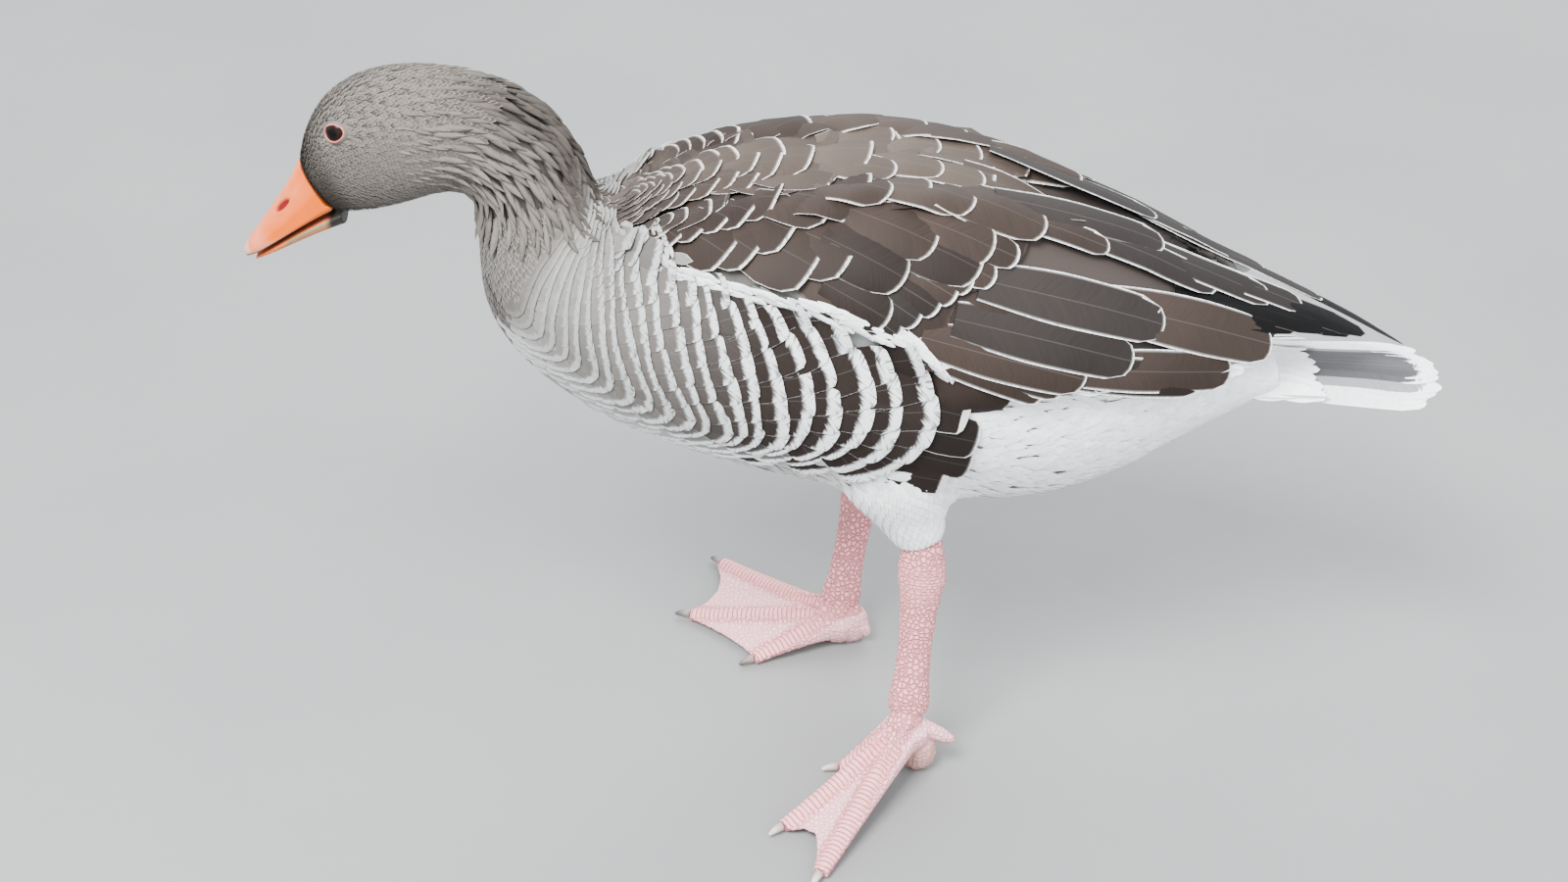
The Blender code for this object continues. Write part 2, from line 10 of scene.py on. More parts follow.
import logging
import math
import sys
from dataclasses import dataclass, field
from enum import Enum

import bmesh
import bpy
import numpy as np
from mathutils import Matrix, Vector
from mathutils.bvhtree import BVHTree


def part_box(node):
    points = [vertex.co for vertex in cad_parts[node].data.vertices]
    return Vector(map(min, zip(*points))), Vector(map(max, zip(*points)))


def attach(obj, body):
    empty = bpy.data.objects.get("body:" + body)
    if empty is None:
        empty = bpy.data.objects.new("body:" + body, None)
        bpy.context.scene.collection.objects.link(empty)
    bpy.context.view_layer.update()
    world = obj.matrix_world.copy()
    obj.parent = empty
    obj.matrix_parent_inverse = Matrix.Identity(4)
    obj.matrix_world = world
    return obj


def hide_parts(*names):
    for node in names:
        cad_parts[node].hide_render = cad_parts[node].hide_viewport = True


log = logging.getLogger("goose")

Colour = tuple[float, float, float]
Array = np.ndarray
BMesh = bmesh.types.BMesh
Material = bpy.types.Material
Mesh = bpy.types.Mesh
Socket = bpy.types.NodeSocket
BAKE_MAP, VANE_MAP = "OFBake", "Vane"
PATCH = 0.003  # of the bake map, across one small tuft
RELAX_STEPS = (0.5, -0.52)  # in, and out again by a little more
WELD = 2e-5  # nearer vertices of the frame's nodes are one


class Side(Enum):
    """Which side of the goose a piece belongs to, as the sign of its Y."""

    LEFT = -1.0
    RIGHT = 1.0


# ---- helpers ----


def mix(a: Colour, b: Colour, share: float) -> Colour:
    """A colour this share of the way from a to b."""
    return tuple(p + (q - p) * share for p, q in zip(a, b))


def ramp(low: float, high: float, value: float) -> float:
    """A smooth step from 0 at low to 1 at high, also where high is the lower one."""
    t = min(max((value - low) / (high - low), 0.0), 1.0)
    return t * t * (3.0 - 2.0 * t)


def plateau(start: float, full: float, empty: float, end: float, value: float) -> float:
    """A smooth rise from start to full, and a fall from empty to end."""
    return ramp(start, full, value) * ramp(end, empty, value)


def rise(values: Array, start: float, span: float) -> Array:
    """A straight rise from 0 at start to 1 a span further on; a span may be negative."""
    return np.clip((values - start) / span, 0.0, 1.0)


def paint(shade: Array, colour: Colour, share: Array) -> Array:
    """Rows of colours, each with its own share of one colour mixed in."""
    return shade + (np.array(colour) - shade) * share[:, None]


def flat(direction: Vector, normal: Vector) -> Vector:
    """A direction laid flat against a surface, one long."""
    return (direction - normal * direction.dot(normal)).normalized()


def link(name: str, mesh: Mesh, material: Material) -> bpy.types.Object:
    """Puts a mesh in the scene as a piece that rides on the goose.

    Args:
        name: the piece's name.
        mesh: its mesh, in the frame's coordinates.
        material: its material.

    Returns:
        The new object.
    """
    mesh.materials.clear()
    mesh.materials.append(material)
    piece = bpy.data.objects.new(name, mesh)
    bpy.context.scene.collection.objects.link(piece)
    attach(piece, "root")
    return piece


def to_mesh(name: str, bm: BMesh) -> Mesh:
    """Turns a bmesh into a smooth mesh, and frees it."""
    mesh = bpy.data.meshes.new(name)
    bm.to_mesh(mesh)
    bm.free()
    mesh.shade_smooth()
    return mesh


def from_bmesh(name: str, bm: BMesh) -> Mesh:
    """Turns a bmesh into a smooth mesh with its faces outwards, and frees it."""
    bmesh.ops.recalc_face_normals(bm, faces=bm.faces)
    return to_mesh(name, bm)


def merged(name: str, parts: list[Mesh]) -> Mesh:
    """Several meshes as one, with what is stored on their vertices."""
    bm = bmesh.new()
    for mesh in parts:
        bm.from_mesh(mesh)
    return to_mesh(name, bm)


def node_bmesh(*names: str) -> BMesh:
    """The merged meshes of some of the frame's nodes."""
    bm = bmesh.new()
    for name in names:
        bm.from_mesh(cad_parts[name].data)
    bmesh.ops.remove_doubles(bm, verts=bm.verts, dist=WELD)
    return bm


def with_modifiers(mesh: Mesh, *settings: tuple[str, dict]) -> Mesh:
    """The mesh after some modifiers.

    Args:
        mesh: the mesh to start from, which is removed.
        settings: each modifier's type and its values.

    Returns:
        The evaluated mesh.
    """
    holder = bpy.data.objects.new("holder", mesh)
    bpy.context.scene.collection.objects.link(holder)
    for kind, values in settings:
        modifier = holder.modifiers.new(kind.title(), kind)
        for key, value in values.items():
            setattr(modifier, key, value)
    graph = bpy.context.evaluated_depsgraph_get()
    made = bpy.data.meshes.new_from_object(holder.evaluated_get(graph))
    bpy.data.objects.remove(holder)
    bpy.data.meshes.remove(mesh)
    return made


def coordinates(mesh: Mesh) -> Array:
    """A mesh's vertex positions, as rows of three."""
    co = np.empty(len(mesh.vertices) * 3, np.float32)
    mesh.vertices.foreach_get("co", co)
    return co.reshape(-1, 3).astype(float)


def set_coordinates(mesh: Mesh, co: Array) -> None:
    """Writes a mesh's vertex positions."""
    mesh.vertices.foreach_set("co", co.astype(np.float32).ravel())
    mesh.update()


def normals_of(mesh: Mesh) -> Array:
    """A mesh's vertex normals, as rows of three."""
    found = np.empty(len(mesh.vertices) * 3, np.float32)
    mesh.vertex_normals.foreach_get("vector", found)
    return found.reshape(-1, 3).astype(float)


def relax(mesh: Mesh, rounds: int, free: float | Array = 1.0) -> None:
    """Smooths a mesh with hardly any loss of volume, by turns in and out.

    Args:
        mesh: the mesh.
        rounds: how often.
        free: how freely each vertex moves, from 0 to 1.
    """
    edges = np.empty(len(mesh.edges) * 2, np.int64)
    mesh.edges.foreach_get("vertices", edges)
    a, b = edges.reshape(-1, 2).T
    co = coordinates(mesh)
    count = np.bincount(a, minlength=len(co)) + np.bincount(b, minlength=len(co))
    for step in RELAX_STEPS * rounds:
        total = np.zeros_like(co)
        for axis in range(3):
            total[:, axis] += np.bincount(a, co[b, axis], len(co))
            total[:, axis] += np.bincount(b, co[a, axis], len(co))
        co += (total / count[:, None] - co) * (step * free)
    set_coordinates(mesh, co)


def outermost(mesh: Mesh) -> Mesh:
    """Leaves only the largest of a mesh's shells, so that no hollow stays inside.

    Args:
        mesh: the mesh, which is changed.

    Returns:
        The same mesh.
    """
    bm = bmesh.new()
    bm.from_mesh(mesh)
    left, shells = set(bm.verts), []
    while left:
        shell, edge = set(), [left.pop()]
        while edge:
            vert = edge.pop()
            shell.add(vert)
            fresh = [e.other_vert(vert) for e in vert.link_edges]
            fresh = [v for v in fresh if v in left]
            left.difference_update(fresh)
            edge.extend(fresh)
        shells.append(shell)
    keep = max(shells, key=len)
    bmesh.ops.delete(bm, geom=[v for v in bm.verts if v not in keep], context="VERTS")
    bm.to_mesh(mesh)
    bm.free()
    return mesh


def point_attribute(mesh: Mesh, name: str, values: Array) -> None:
    """Stores one number, or one colour of four numbers, per vertex."""
    kind, key = ("FLOAT", "value") if values.ndim == 1 else ("FLOAT_COLOR", "color")
    layer = mesh.attributes.new(name, kind, "POINT")
    layer.data.foreach_set(key, values.astype(np.float32).ravel())


def shade_points(mesh: Mesh, shade: Array) -> None:
    """Stores the colour that the finishes read, as a row of three numbers per vertex."""
    point_attribute(mesh, "Shade", np.hstack([shade, np.ones((len(shade), 1))]))


def eyeball(name: str) -> tuple[Vector, float]:
    """The middle and the radius of an eye's node."""
    low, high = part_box(name)
    return (low + high) / 2, (high.x - low.x) / 2


# ---- the body's own coordinates ----

# Stations along the goose's middle line: x, z, and how far the section through it
# leans back from upright, in degrees. 0 is the bill's base, 5 the nape, 11 the notch
# over the shoulders, 17 the top of the back, 24 the tail's root and 26 the wing tips.
SPINE = (
    (-0.3104, 0.3610, -31), (-0.3020, 0.3700, -24), (-0.2924, 0.3805, -17),
    (-0.2751, 0.3890, -9), (-0.2561, 0.3940, -4), (-0.2386, 0.3955, 4),
    (-0.2216, 0.3933, 16), (-0.2076, 0.3883, 30), (-0.1971, 0.3800, 46),
    (-0.1905, 0.3683, 61), (-0.1869, 0.3545, 72), (-0.1851, 0.3420, 75),
    (-0.1819, 0.3310, 68), (-0.1734, 0.3205, 55), (-0.1564, 0.3140, 46),
    (-0.1306, 0.3075, 40), (-0.0946, 0.2980, 33), (-0.0456, 0.2868, 25),
    (0.0074, 0.2763, 17), (0.0584, 0.2665, 11), (0.1099, 0.2560, 5),
    (0.1569, 0.2500, 1), (0.1999, 0.2470, 0), (0.2344, 0.2445, -3),
    (0.2549, 0.2440, 0), (0.3000, 0.2400, 0), (0.3500, 0.2360, 0),
)


class BodyAxis:
    """The middle line that places are measured along (station) and round (degrees).

    Degrees go from 0 on the back, over 90 on the flank, to 180 under the belly.
    """

    def __init__(self) -> None:
        """Reads the midline from the frame."""
        low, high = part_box("head")
        self.midline = (low.y + high.y) / 2
        self.table = np.array(SPINE, float)

    def values(self, s: float) -> Array:
        """The smooth x, z and lean at a station."""
        last = len(self.table) - 1
        i = min(max(int(math.floor(s)), 0), last - 1)
        f = s - i
        a, b = self.table[max(i - 1, 0)], self.table[i]
        c, d = self.table[i + 1], self.table[min(i + 2, last)]
        cubic = 3 * b - a - 3 * c + d
        return 0.5 * (2 * b + (c - a) * f + (2 * a - 5 * b + 4 * c - d) * f**2 + cubic * f**3)

    def middle(self, s: float) -> Vector:
        """The point of the middle line at a station."""
        x, z, _ = self.values(s)
        return Vector((x, self.midline, z))

    def outward(self, s: float, degrees: float, side: float) -> Vector:
        """The direction in a station's section, this far round from the back."""
        lean, turn = math.radians(self.values(s)[2]), math.radians(degrees)
        up = math.cos(turn)
        return Vector((math.sin(lean) * up, side * math.sin(turn), math.cos(lean) * up))

    def ahead(self, s: float) -> Vector:
        """The direction of rising stations, square to the section."""
        lean = math.radians(self.values(s)[2])
        return Vector((math.cos(lean), 0.0, -math.sin(lean)))


@dataclass
class Spot:
    """A place on a surface."""

    point: Vector
    normal: Vector
    lie: Vector  # the way the coat lies there
    place: tuple[float, float]  # signed degrees and station, for the bake map


class Surface:
    """A surface that tufts are rooted on and led along."""

    REACH = 0.22  # metres beyond the middle line, from where an outer surface is sought
    NEAR = 0.05  # how far off a tuft's path the surface is sought
    SHARPEST = 0.2  # cosine of the sharpest turn that a tuft follows

    def __init__(self, axis: BodyAxis, mesh: Mesh, from_inside: bool = True) -> None:
        """Args: axis, the mesh, and whether it is met from inside or from outside."""
        self.axis = axis
        self.from_inside = from_inside
        bm = bmesh.new()
        bm.from_mesh(mesh)
        self.tree = BVHTree.FromBMesh(bm)
        bm.free()

    def spot(self, s: float, degrees: float, side: float, slope: float = 0.0) -> Spot | None:
        """The place at a station and angle.

        Args:
            s: the station.
            degrees: the angle round from the back.
            side: -1 for the left and 1 for the right.
            slope: how far the lie turns down from the body's line, in degrees.

        Returns:
            The spot, or None where the surface isn't met.
        """
        out = self.axis.outward(s, degrees, side)
        start = self.axis.middle(s)
        if self.from_inside:
            point, normal, _, _ = self.tree.ray_cast(start, out)
        else:
            point, normal, _, _ = self.tree.ray_cast(start + out * self.REACH, -out)
        if point is None or (point - start).dot(out) < 0.0:
            return None
        if normal.dot(out) < 0.0:
            normal = -normal
        down = self.axis.outward(s, degrees + 90.0, side)
        turn = math.radians(slope)
        lie = self.axis.ahead(s) * math.cos(turn) + down * math.sin(turn)
        return Spot(point, normal, flat(lie, normal), (side * degrees, s))

    def path(self, spot: Spot, length: float, steps: int, cling: float) -> tuple[list, list]:
        """Leads a tuft along the surface.

        Args:
            spot: where it starts.
            length: how long it is; a negative length leads back from its end.
            steps: how many straight lengths it is made of.
            cling: 1 follows the surface, 0 runs straight on.

        Returns:
            The points and the normals from root to end, one more than the steps.
        """
        points, normals = [spot.point], [spot.normal]
        lie = spot.lie if length > 0.0 else -spot.lie
        for _ in range(steps):
            free = points[-1] + lie * (abs(length) / steps)
            found, normal, _, _ = self.tree.find_nearest(free, self.NEAR)
            if found is None:
                found, normal = free, normals[-1]
            if normal.dot(normals[-1]) < self.SHARPEST:
                normal = normals[-1]
            place = free.lerp(found, cling)
            lie = (place - points[-1]).normalized()
            turned = normals[-1].lerp(normal, 0.5 * cling)
            points.append(place)
            normals.append(flat(turned, lie))
        order = 1 if length > 0.0 else -1
        return points[::order], normals[::order]


# ---- vanes ----


@dataclass(frozen=True)
class Vane:
    """The outline of one kind of feather.

    Attributes:
        rows: faces along it.
        columns: faces across its upper side.
        root: its width at the root, as a share of its full width.
        tip: how deep its rounded end is, as a share of its width.
        square: how square its end is; 1 is pointed, 2 round, 4 nearly straight.
        camber: how far its middle stands up, as a share of its width.
    """

    rows: int
    columns: int
    root: float = 0.5
    tip: float = 0.5
    square: float = 2.0
    camber: float = 0.12
    FULL_AT, TAPER = 0.55, 0.12  # how far along it is widest, and its narrowing after that

    def widths(self, v: Array) -> Array:
        """Half the width at v along, as a share of the full width."""
        swell = np.sin(0.5 * np.pi * np.minimum(v / self.FULL_AT, 1.0))
        return 0.5 * (self.root + (1.0 - self.root) * swell) * (1.0 - self.TAPER * v**4)

    def drop(self, across: Array) -> Array:
        """How far back the end lies at each place across, in widths."""
        q = self.square
        inner = np.maximum(1.0 - np.abs(across) ** q, 0.0) ** (1.0 / q)
        return self.tip * (1.0 - inner)

    def template(self) -> Template:
        """Makes the vane once, as a closed lens of one unit by one unit."""
        bm = bmesh.new()
        bmesh.ops.create_grid(bm, x_segments=self.columns, y_segments=self.rows, size=0.5)
        bm.verts.index_update()
        across = [round(v.co.x * 2, 4) for v in bm.verts]
        along = [min(max(v.co.y + 0.5, 0.0), 1.0) for v in bm.verts]
        grid = sorted(range(len(bm.verts)), key=lambda i: (round(along[i], 4), across[i]))
        bm.verts.ensure_lookup_table()
        step = self.columns + 1
        upper = [[v.index for v in f.verts] for f in bm.faces]
        rims = [(grid[r * step], grid[r * step + self.columns]) for r in range(self.rows + 1)]
        lower = [[a, c, d, b] for (a, b), (c, d) in zip(rims, rims[1:])]
        lower += [grid[:step][::-1], grid[-step:]]
        bm.free()
        return Template(self, np.array(across), np.array(along), lower + upper)


@dataclass
class Template:
    """A vane's vertices as (across, along), and its faces, lower ones first."""

    vane: Vane
    across: Array
    along: Array
    faces: list[list[int]]


@dataclass
class Look:
    """How one tuft is coloured.

    Attributes:
        shade: the vane's colour.
        edge: the colour of its fringe.
        fringe: how wide the fringe is.
        bar: how much darker the vane gets towards its end, from 0 to 1.
        sides: how much of the fringe runs up its sides, from 0 to 1.
        slits: how frayed the fringe is, from 0 to 1.
    """

    shade: Colour
    edge: Colour
    fringe: float
    bar: float
    sides: float = 0.5
    slits: float = 0.0


@dataclass
class Stance:
    """How one tuft stands: its root's depth, its end's height, and its roll."""

    sink: float
    lift: float
    roll: float = 0.0


@dataclass
class Coat:
    """One joined piece of many tufts."""

    name: str
    surface: Surface
    vane: Vane
    material: Material
    slot: str = "grey_plumage"
    steps: int = 3
    cling: float = 1.0
    patch: float = PATCH
    fitted: bool = False  # whether its tufts bend across with the surface
    dark_under: bool = False  # whether sides turned to the body lack the fringe: painted shadow at the ends
    rows: list[tuple] = field(default_factory=list)
    EDGE = 0.9  # of half the width, where the surface beside a tuft is felt
    STEEPEST = 0.12  # of the width, the most that a tuft's edge bends down
    UNDER = 0.4  # how far along a tuft's under side is coloured, so it is dark: painted shadow
    CREASE = math.radians(62)  # a tuft's outline is sharp

    def grow(
        self, spot: Spot | None, length: float, width: float, look: Look, stance: Stance
    ) -> None:
        """Adds one tuft.

        Args:
            spot: its root, or its end where the length is negative, or None for no tuft.
            length: its length.
            width: its width.
            look: its colours.
            stance: how it stands.
        """
        if spot is None:
            return
        path = self.surface.path(spot, length, self.steps, self.cling)
        degrees, station = spot.place
        here = (0.5 + 0.48 * degrees / 180.0, station / len(SPINE))
        self.lay(path, abs(length), width, look, stance, here)

    def lay(
        self, path: tuple[list, list], length: float, width: float, look: Look, stance: Stance,
        here: tuple[float, float],
    ) -> None:
        """Adds one tuft along a path of its own.

        Args:
            path: its points and normals from root to end.
            length: its length.
            width: its width.
            look: its colours.
            stance: how it stands.
            here: its root on the bake map.
        """
        seed = (math.sin(len(self.rows) * 12.9898) * 43758.5453) % 1.0  # from 0 to 1
        bend = self.bend(path, width) if self.fitted else (0.0, 0.0)
        numbers = (length, width, stance.sink, stance.lift, stance.roll, *bend)
        colours = (*look.shade, 1.0, *look.edge, 1.0, look.fringe, look.bar, seed, look.slits)
        self.rows.append((*path, numbers, here, (*colours, look.sides, length, width, 1.0)))

    def bend(self, path: tuple[list, list], width: float) -> tuple[float, float]:
        """How the surface falls away beside a tuft.

        Args:
            path: the tuft's points and normals.
            width: its width.

        Returns:
            How much higher the surface is at both edges, and at one than the other.
        """
        points, normals = path
        k = len(points) - 2
        up = normals[k]
        out = (points[k + 1] - points[k]).normalized().cross(up)
        heights = []
        for sign in (1.0, -1.0):
            edge = points[k] + out * (sign * 0.5 * self.EDGE * width)
            found = self.surface.tree.find_nearest(edge, self.surface.NEAR)[0]
            heights.append((found - edge).dot(up) if found else 0.0)
        limit = self.STEEPEST * width
        both = (heights[0] + heights[1]) / (2 * self.EDGE**2)
        tilt = (heights[0] - heights[1]) / (2 * self.EDGE)
        return max(min(both, 0.1 * limit), -limit), max(min(tilt, limit), -limit)

    def build(self, *stands_for: str) -> None:
        """Joins the tufts into one mesh.

        Args:
            stands_for: the nodes that the piece replaces.
        """
        template = self.vane.template()
        points, normals, numbers, places, colours = (
            np.array([row[k] for row in self.rows]) for k in range(5)
        )
        co = self.shape(template, points, normals, numbers)
        mesh = self.joined(co.reshape(-1, 3), template, len(co))
        self.maps(mesh, template, places, numbers)
        repeat = np.repeat(colours, len(template.along), axis=0)
        for k, name in enumerate(("Shade", "Edge", "Marks", "Form")):
            point_attribute(mesh, name, repeat[:, 4 * k : 4 * k + 4])
        piece = link(self.name, mesh, self.material)
        if stands_for:
            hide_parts(*stands_for)
        faces = sum(len(f) - 2 for f in template.faces) * len(co)
        log.info("%s: %d tufts, %d triangles", self.name, len(co), faces)

    def shape(self, template: Template, points: Array, normals: Array, numbers: Array) -> Array:
        """Bends the template along every path.

        Args:
            template: the tuft's template.
            points: the paths' points.
            normals: the paths' normals.
            numbers: each tuft's length, width, sink, lift, roll and bend.

        Returns:
            The places of all the vertices.
        """
        length, width, sink, lift, roll, both, tilt = (numbers[:, k, None] for k in range(7))
        across, v = template.across[None], template.along[None]
        along = np.clip(v - v**2 * self.vane.drop(across) * width / length, 0.0, 1.0) * self.steps
        low = np.minimum(along.astype(int), self.steps - 1)
        share = (along - low)[:, :, None]
        which = np.arange(len(points))[:, None]
        middle = points[which, low] * (1 - share) + points[which, low + 1] * share
        up = normals[which, low] * (1 - share) + normals[which, low + 1] * share
        up /= np.linalg.norm(up, axis=2, keepdims=True)
        lies = points[which, low + 1] - points[which, low]
        lies /= np.linalg.norm(lies, axis=2, keepdims=True) + 1e-12
        out = np.cross(lies, up)
        turn = np.radians(roll)[:, :, None]
        out, up = out * np.cos(turn) + up * np.sin(turn), up * np.cos(turn) - out * np.sin(turn)
        gone = along / self.steps
        height = lift * gone**2 - sink * (1 - gone) ** 1.5
        arch = self.vane.camber * (1 - across**2) * np.minimum(1.0, 2.5 * (1 - v) + 0.2)
        height = (height + width * arch + both * across**2 + tilt * across)[:, :, None]
        sideways = across * self.vane.widths(template.along)[None] * width
        return middle + out * sideways[:, :, None] + up * height

    def joined(self, co: Array, template: Template, count: int) -> Mesh:
        """Makes the mesh of all the tufts.

        Args:
            co: the vertices of all the tufts in turn.
            template: the tuft they repeat.
            count: how many tufts there are.

        Returns:
            The mesh, with its tufts' outlines sharp.
        """
        loops = np.array([i for f in template.faces for i in f])
        starts = np.cumsum([0] + [len(f) for f in template.faces][:-1])
        offsets = np.arange(count)[:, None]
        mesh = bpy.data.meshes.new(self.name)
        mesh.vertices.add(len(co))
        mesh.vertices.foreach_set("co", co.astype(np.float32).ravel())
        mesh.loops.add(len(loops) * count)
        mesh.loops.foreach_set("vertex_index", (loops + offsets * len(template.along)).ravel())
        mesh.polygons.add(len(starts) * count)
        mesh.polygons.foreach_set("loop_start", (starts + offsets * len(loops)).ravel())
        mesh.update(calc_edges=True)
        mesh.shade_smooth()
        mesh.set_sharp_from_angle(angle=self.CREASE)
        return mesh

    def maps(self, mesh: Mesh, template: Template, places: Array, numbers: Array) -> None:
        """Lays each tuft on the vane map and at its own place on the bake map.

        Args:
            mesh: the tufts' mesh.
            template: the tuft they repeat.
            places: their roots on the bake map.
            numbers: their lengths, widths and so on.
        """
        loops = np.array([i for f in template.faces for i in f])
        across, along = template.across[loops], template.along[loops]
        # the under sides and the ends' thin edges take the darker vane colour: painted shadow
        # under each pale end
        if self.dark_under:
            beneath = [k < self.vane.rows + 2 for k, f in enumerate(template.faces) for _ in f]
            along = np.where(beneath, self.UNDER * along, along)
        vane = np.stack([np.tile((across + 1) / 2, len(places)), np.tile(along, len(places))], 1)
        mesh.uv_layers.new(name=VANE_MAP).uv.foreach_set("vector", vane.astype(np.float32).ravel())
        bend = np.where(np.abs(across) < 0.99, 0.1 * (along - 0.6), 0.0)
        narrow = np.minimum(numbers[:, 1] / numbers[:, 0], 1.0)[:, None]
        u = across * self.vane.widths(along) * narrow
        spread = np.stack([u, np.broadcast_to(along + bend - 0.5, u.shape)], 2)
        spots = places[:, None, :] + spread * self.patch
        bake = mesh.uv_layers.new(name=BAKE_MAP)
        bake.uv.foreach_set("vector", spots.astype(np.float32).ravel())


# ---- finishes ----


class Nodes:
    """A small hand for building a material's or a group's nodes."""

    def __init__(self, tree: bpy.types.NodeTree) -> None:
        """Args: the tree to add to."""
        self.tree = tree

    def add(self, kind: str, inputs: dict | None = None, **values: object) -> bpy.types.Node:
        """Adds a node.

        Args:
            kind: its type.
            inputs: values or sockets for its inputs, by name or number.
            values: its own settings.

        Returns:
            The node.
        """
        node = self.tree.nodes.new(kind)
        for key, value in values.items():
            setattr(node, key, value)
        for key, value in (inputs or {}).items():
            if isinstance(value, Socket):
                self.tree.links.new(value, node.inputs[key])
            else:
                node.inputs[key].default_value = value
        return node

    def calc(self, operation: str, *values: object) -> Socket:
        """The result of a Math node."""
        inputs = dict(enumerate(values))
        return self.add("ShaderNodeMath", inputs, operation=operation).outputs[0]

    def times(self, value: object, factor: object) -> Socket:
        """A product."""
        return self.calc("MULTIPLY", value, factor)

    def linear(self, value: object, factor: object, offset: object) -> Socket:
        """A product with an offset."""
        return self.calc("MULTIPLY_ADD", value, factor, offset)

    def rest(self, share: object) -> Socket:
        """What a share leaves of 1."""
        return self.calc("SUBTRACT", 1.0, share)

    def step(self, value: object, low: object, high: object) -> Socket:
        """A smooth step of the value from 0 at low to 1 at high."""
        inputs = {"Value": value, "From Min": low, "From Max": high}
        kind = "ShaderNodeMapRange"
        return self.add(kind, inputs, interpolation_type="SMOOTHSTEP").outputs["Result"]

    def blend(self, share: object, a: object, b: object, how: str = "MIX") -> Socket:
        """A mix of two colours."""
        inputs = {0: share, 6: a, 7: b}
        node = self.add("ShaderNodeMix", inputs, data_type="RGBA", blend_type=how)
        return node.outputs[2]

    def toned(self, colour: object, tone: object) -> Socket:
        """A colour times a grey."""
        return self.blend(1.0, colour, self.vector(tone, tone, tone), "MULTIPLY")

    def noise(self, vector: object, scale: float, detail: float = 2.0) -> Socket:
        """The value of a noise pattern."""
        inputs = {"Vector": vector, "Scale": scale, "Detail": detail}
        return self.add("ShaderNodeTexNoise", inputs).outputs["Fac"]

    def vector(self, x: object, y: object, z: object) -> Socket:
        """Three numbers as one vector or grey."""
        return self.add("ShaderNodeCombineXYZ", {0: x, 1: y, 2: z}).outputs[0]

    def parts(self, vector: object) -> list[Socket]:
        """The three numbers of a vector."""
        return list(self.add("ShaderNodeSeparateXYZ", {0: vector}).outputs)

    def attribute(self, name: str, output: str = "Color") -> Socket:
        """One output of the piece's own attribute."""
        return self.add("ShaderNodeAttribute", attribute_name=name).outputs[output]


def new_group(name: str, inputs: dict[str, str], outputs: dict[str, str]) -> tuple:
    """Starts a shader node group.

    Args:
        name: the group's name.
        inputs: the type of each input socket, by name.
        outputs: the type of each output socket, by name.

    Returns:
        The group, a Nodes for it, its input node and its output node.
    """
    group = bpy.data.node_groups.new(name, "ShaderNodeTree")
    for direction, sockets in (("INPUT", inputs), ("OUTPUT", outputs)):
        for label, kind in sockets.items():
            group.interface.new_socket(label, in_out=direction, socket_type=f"NodeSocket{kind}")
    nodes = Nodes(group)
    return group, nodes, nodes.add("NodeGroupInput"), nodes.add("NodeGroupOutput")


BARBS, TATTERS = 1500.0, 620.0  # scales of the patterns along a vane
SHAFT_WIDTHS = (0.007, 0.013)  # a shaft shows only on vanes as wide as this


def vane_group() -> bpy.types.NodeTree:
    """The markings of a vane: fringe, dark end, shaft and barbs."""
    inputs = {"Vane": "Vector", "Shade": "Color", "Edge": "Color", "Marks": "Vector"}
    inputs |= {"Slits": "Float", "Form": "Vector"}
    outputs = {"Colour": "Color", "Height": "Float", "Roughness": "Float"}
    group, n, given, result = new_group("Vane markings", inputs, outputs)
    u, v, _ = n.parts(given.outputs["Vane"])
    fringe, bar, seed = n.parts(given.outputs["Marks"])
    sides, length, width = n.parts(given.outputs["Form"])
    base, pale = given.outputs["Shade"], given.outputs["Edge"]
    centred = n.linear(u, 2.0, -1.0)
    across = n.calc("ABSOLUTE", centred)
    from_end = n.times(n.rest(v), length)
    half = n.times(width, 0.5)
    from_side = n.times(n.rest(across), half)
    from_side = n.calc("DIVIDE", from_side, n.calc("MAXIMUM", sides, 0.01))
    inside = n.calc("SMOOTH_MIN", from_end, from_side, n.times(fringe, 1.5))
    out_from_shaft = n.times(across, half)
    barb = n.linear(out_from_shaft, -0.8, n.times(v, length))
    half_seed = n.linear(seed, 37.0, n.calc("SIGN", centred))
    strand = n.vector(barb, n.times(out_from_shaft, 0.05), n.times(half_seed, 0.01))
    barbs = n.noise(strand, BARBS, 1.0)
    tatter = n.noise(strand, TATTERS, 1.0)
    jag = n.times(n.linear(tatter, 1.4, -0.7), fringe)
    ragged = n.calc("ADD", inside, jag)
    edge = n.step(ragged, n.times(fringe, 1.2), n.times(fringe, 0.75))
    halo = n.step(inside, n.linear(fringe, 1.1, 0.0014), n.times(fringe, 0.9))
    slit = n.step(tatter, 0.52, 0.60)
    outer = n.step(inside, n.times(fringe, 0.75), n.times(fringe, 0.15))
    slit = n.times(n.times(slit, outer), given.outputs["Slits"])
    edge = n.times(edge, n.rest(slit))
    dark = n.times(n.step(v, 0.2, 0.85), bar)
    tone = n.times(n.rest(dark), n.linear(seed, 0.2, 0.9))
    tone = n.times(tone, n.linear(barbs, 0.5, 0.75))
    tone = n.times(tone, n.linear(slit, -0.5, 1.0))
    broad = n.step(width, *SHAFT_WIDTHS)
    line = n.times(n.step(out_from_shaft, 0.00045, 0.00015), broad)
    shaded = n.blend(n.times(line, 0.03), n.toned(base, tone), pale)
    shaded = n.blend(n.times(halo, 0.22), shaded, pale)
    rim = n.toned(pale, n.linear(barbs, 0.3, 0.85))
    ridge = n.times(n.step(out_from_shaft, 0.0007, 0.0), broad)
    made = {"Colour": n.blend(edge, shaded, rim), "Height": n.linear(ridge, 0.7, barbs)}
    made["Roughness"] = n.linear(edge, 0.15, n.linear(barbs, 0.2, 0.45))
    for name, socket in made.items():
        n.tree.links.new(socket, result.inputs[name])
    return group


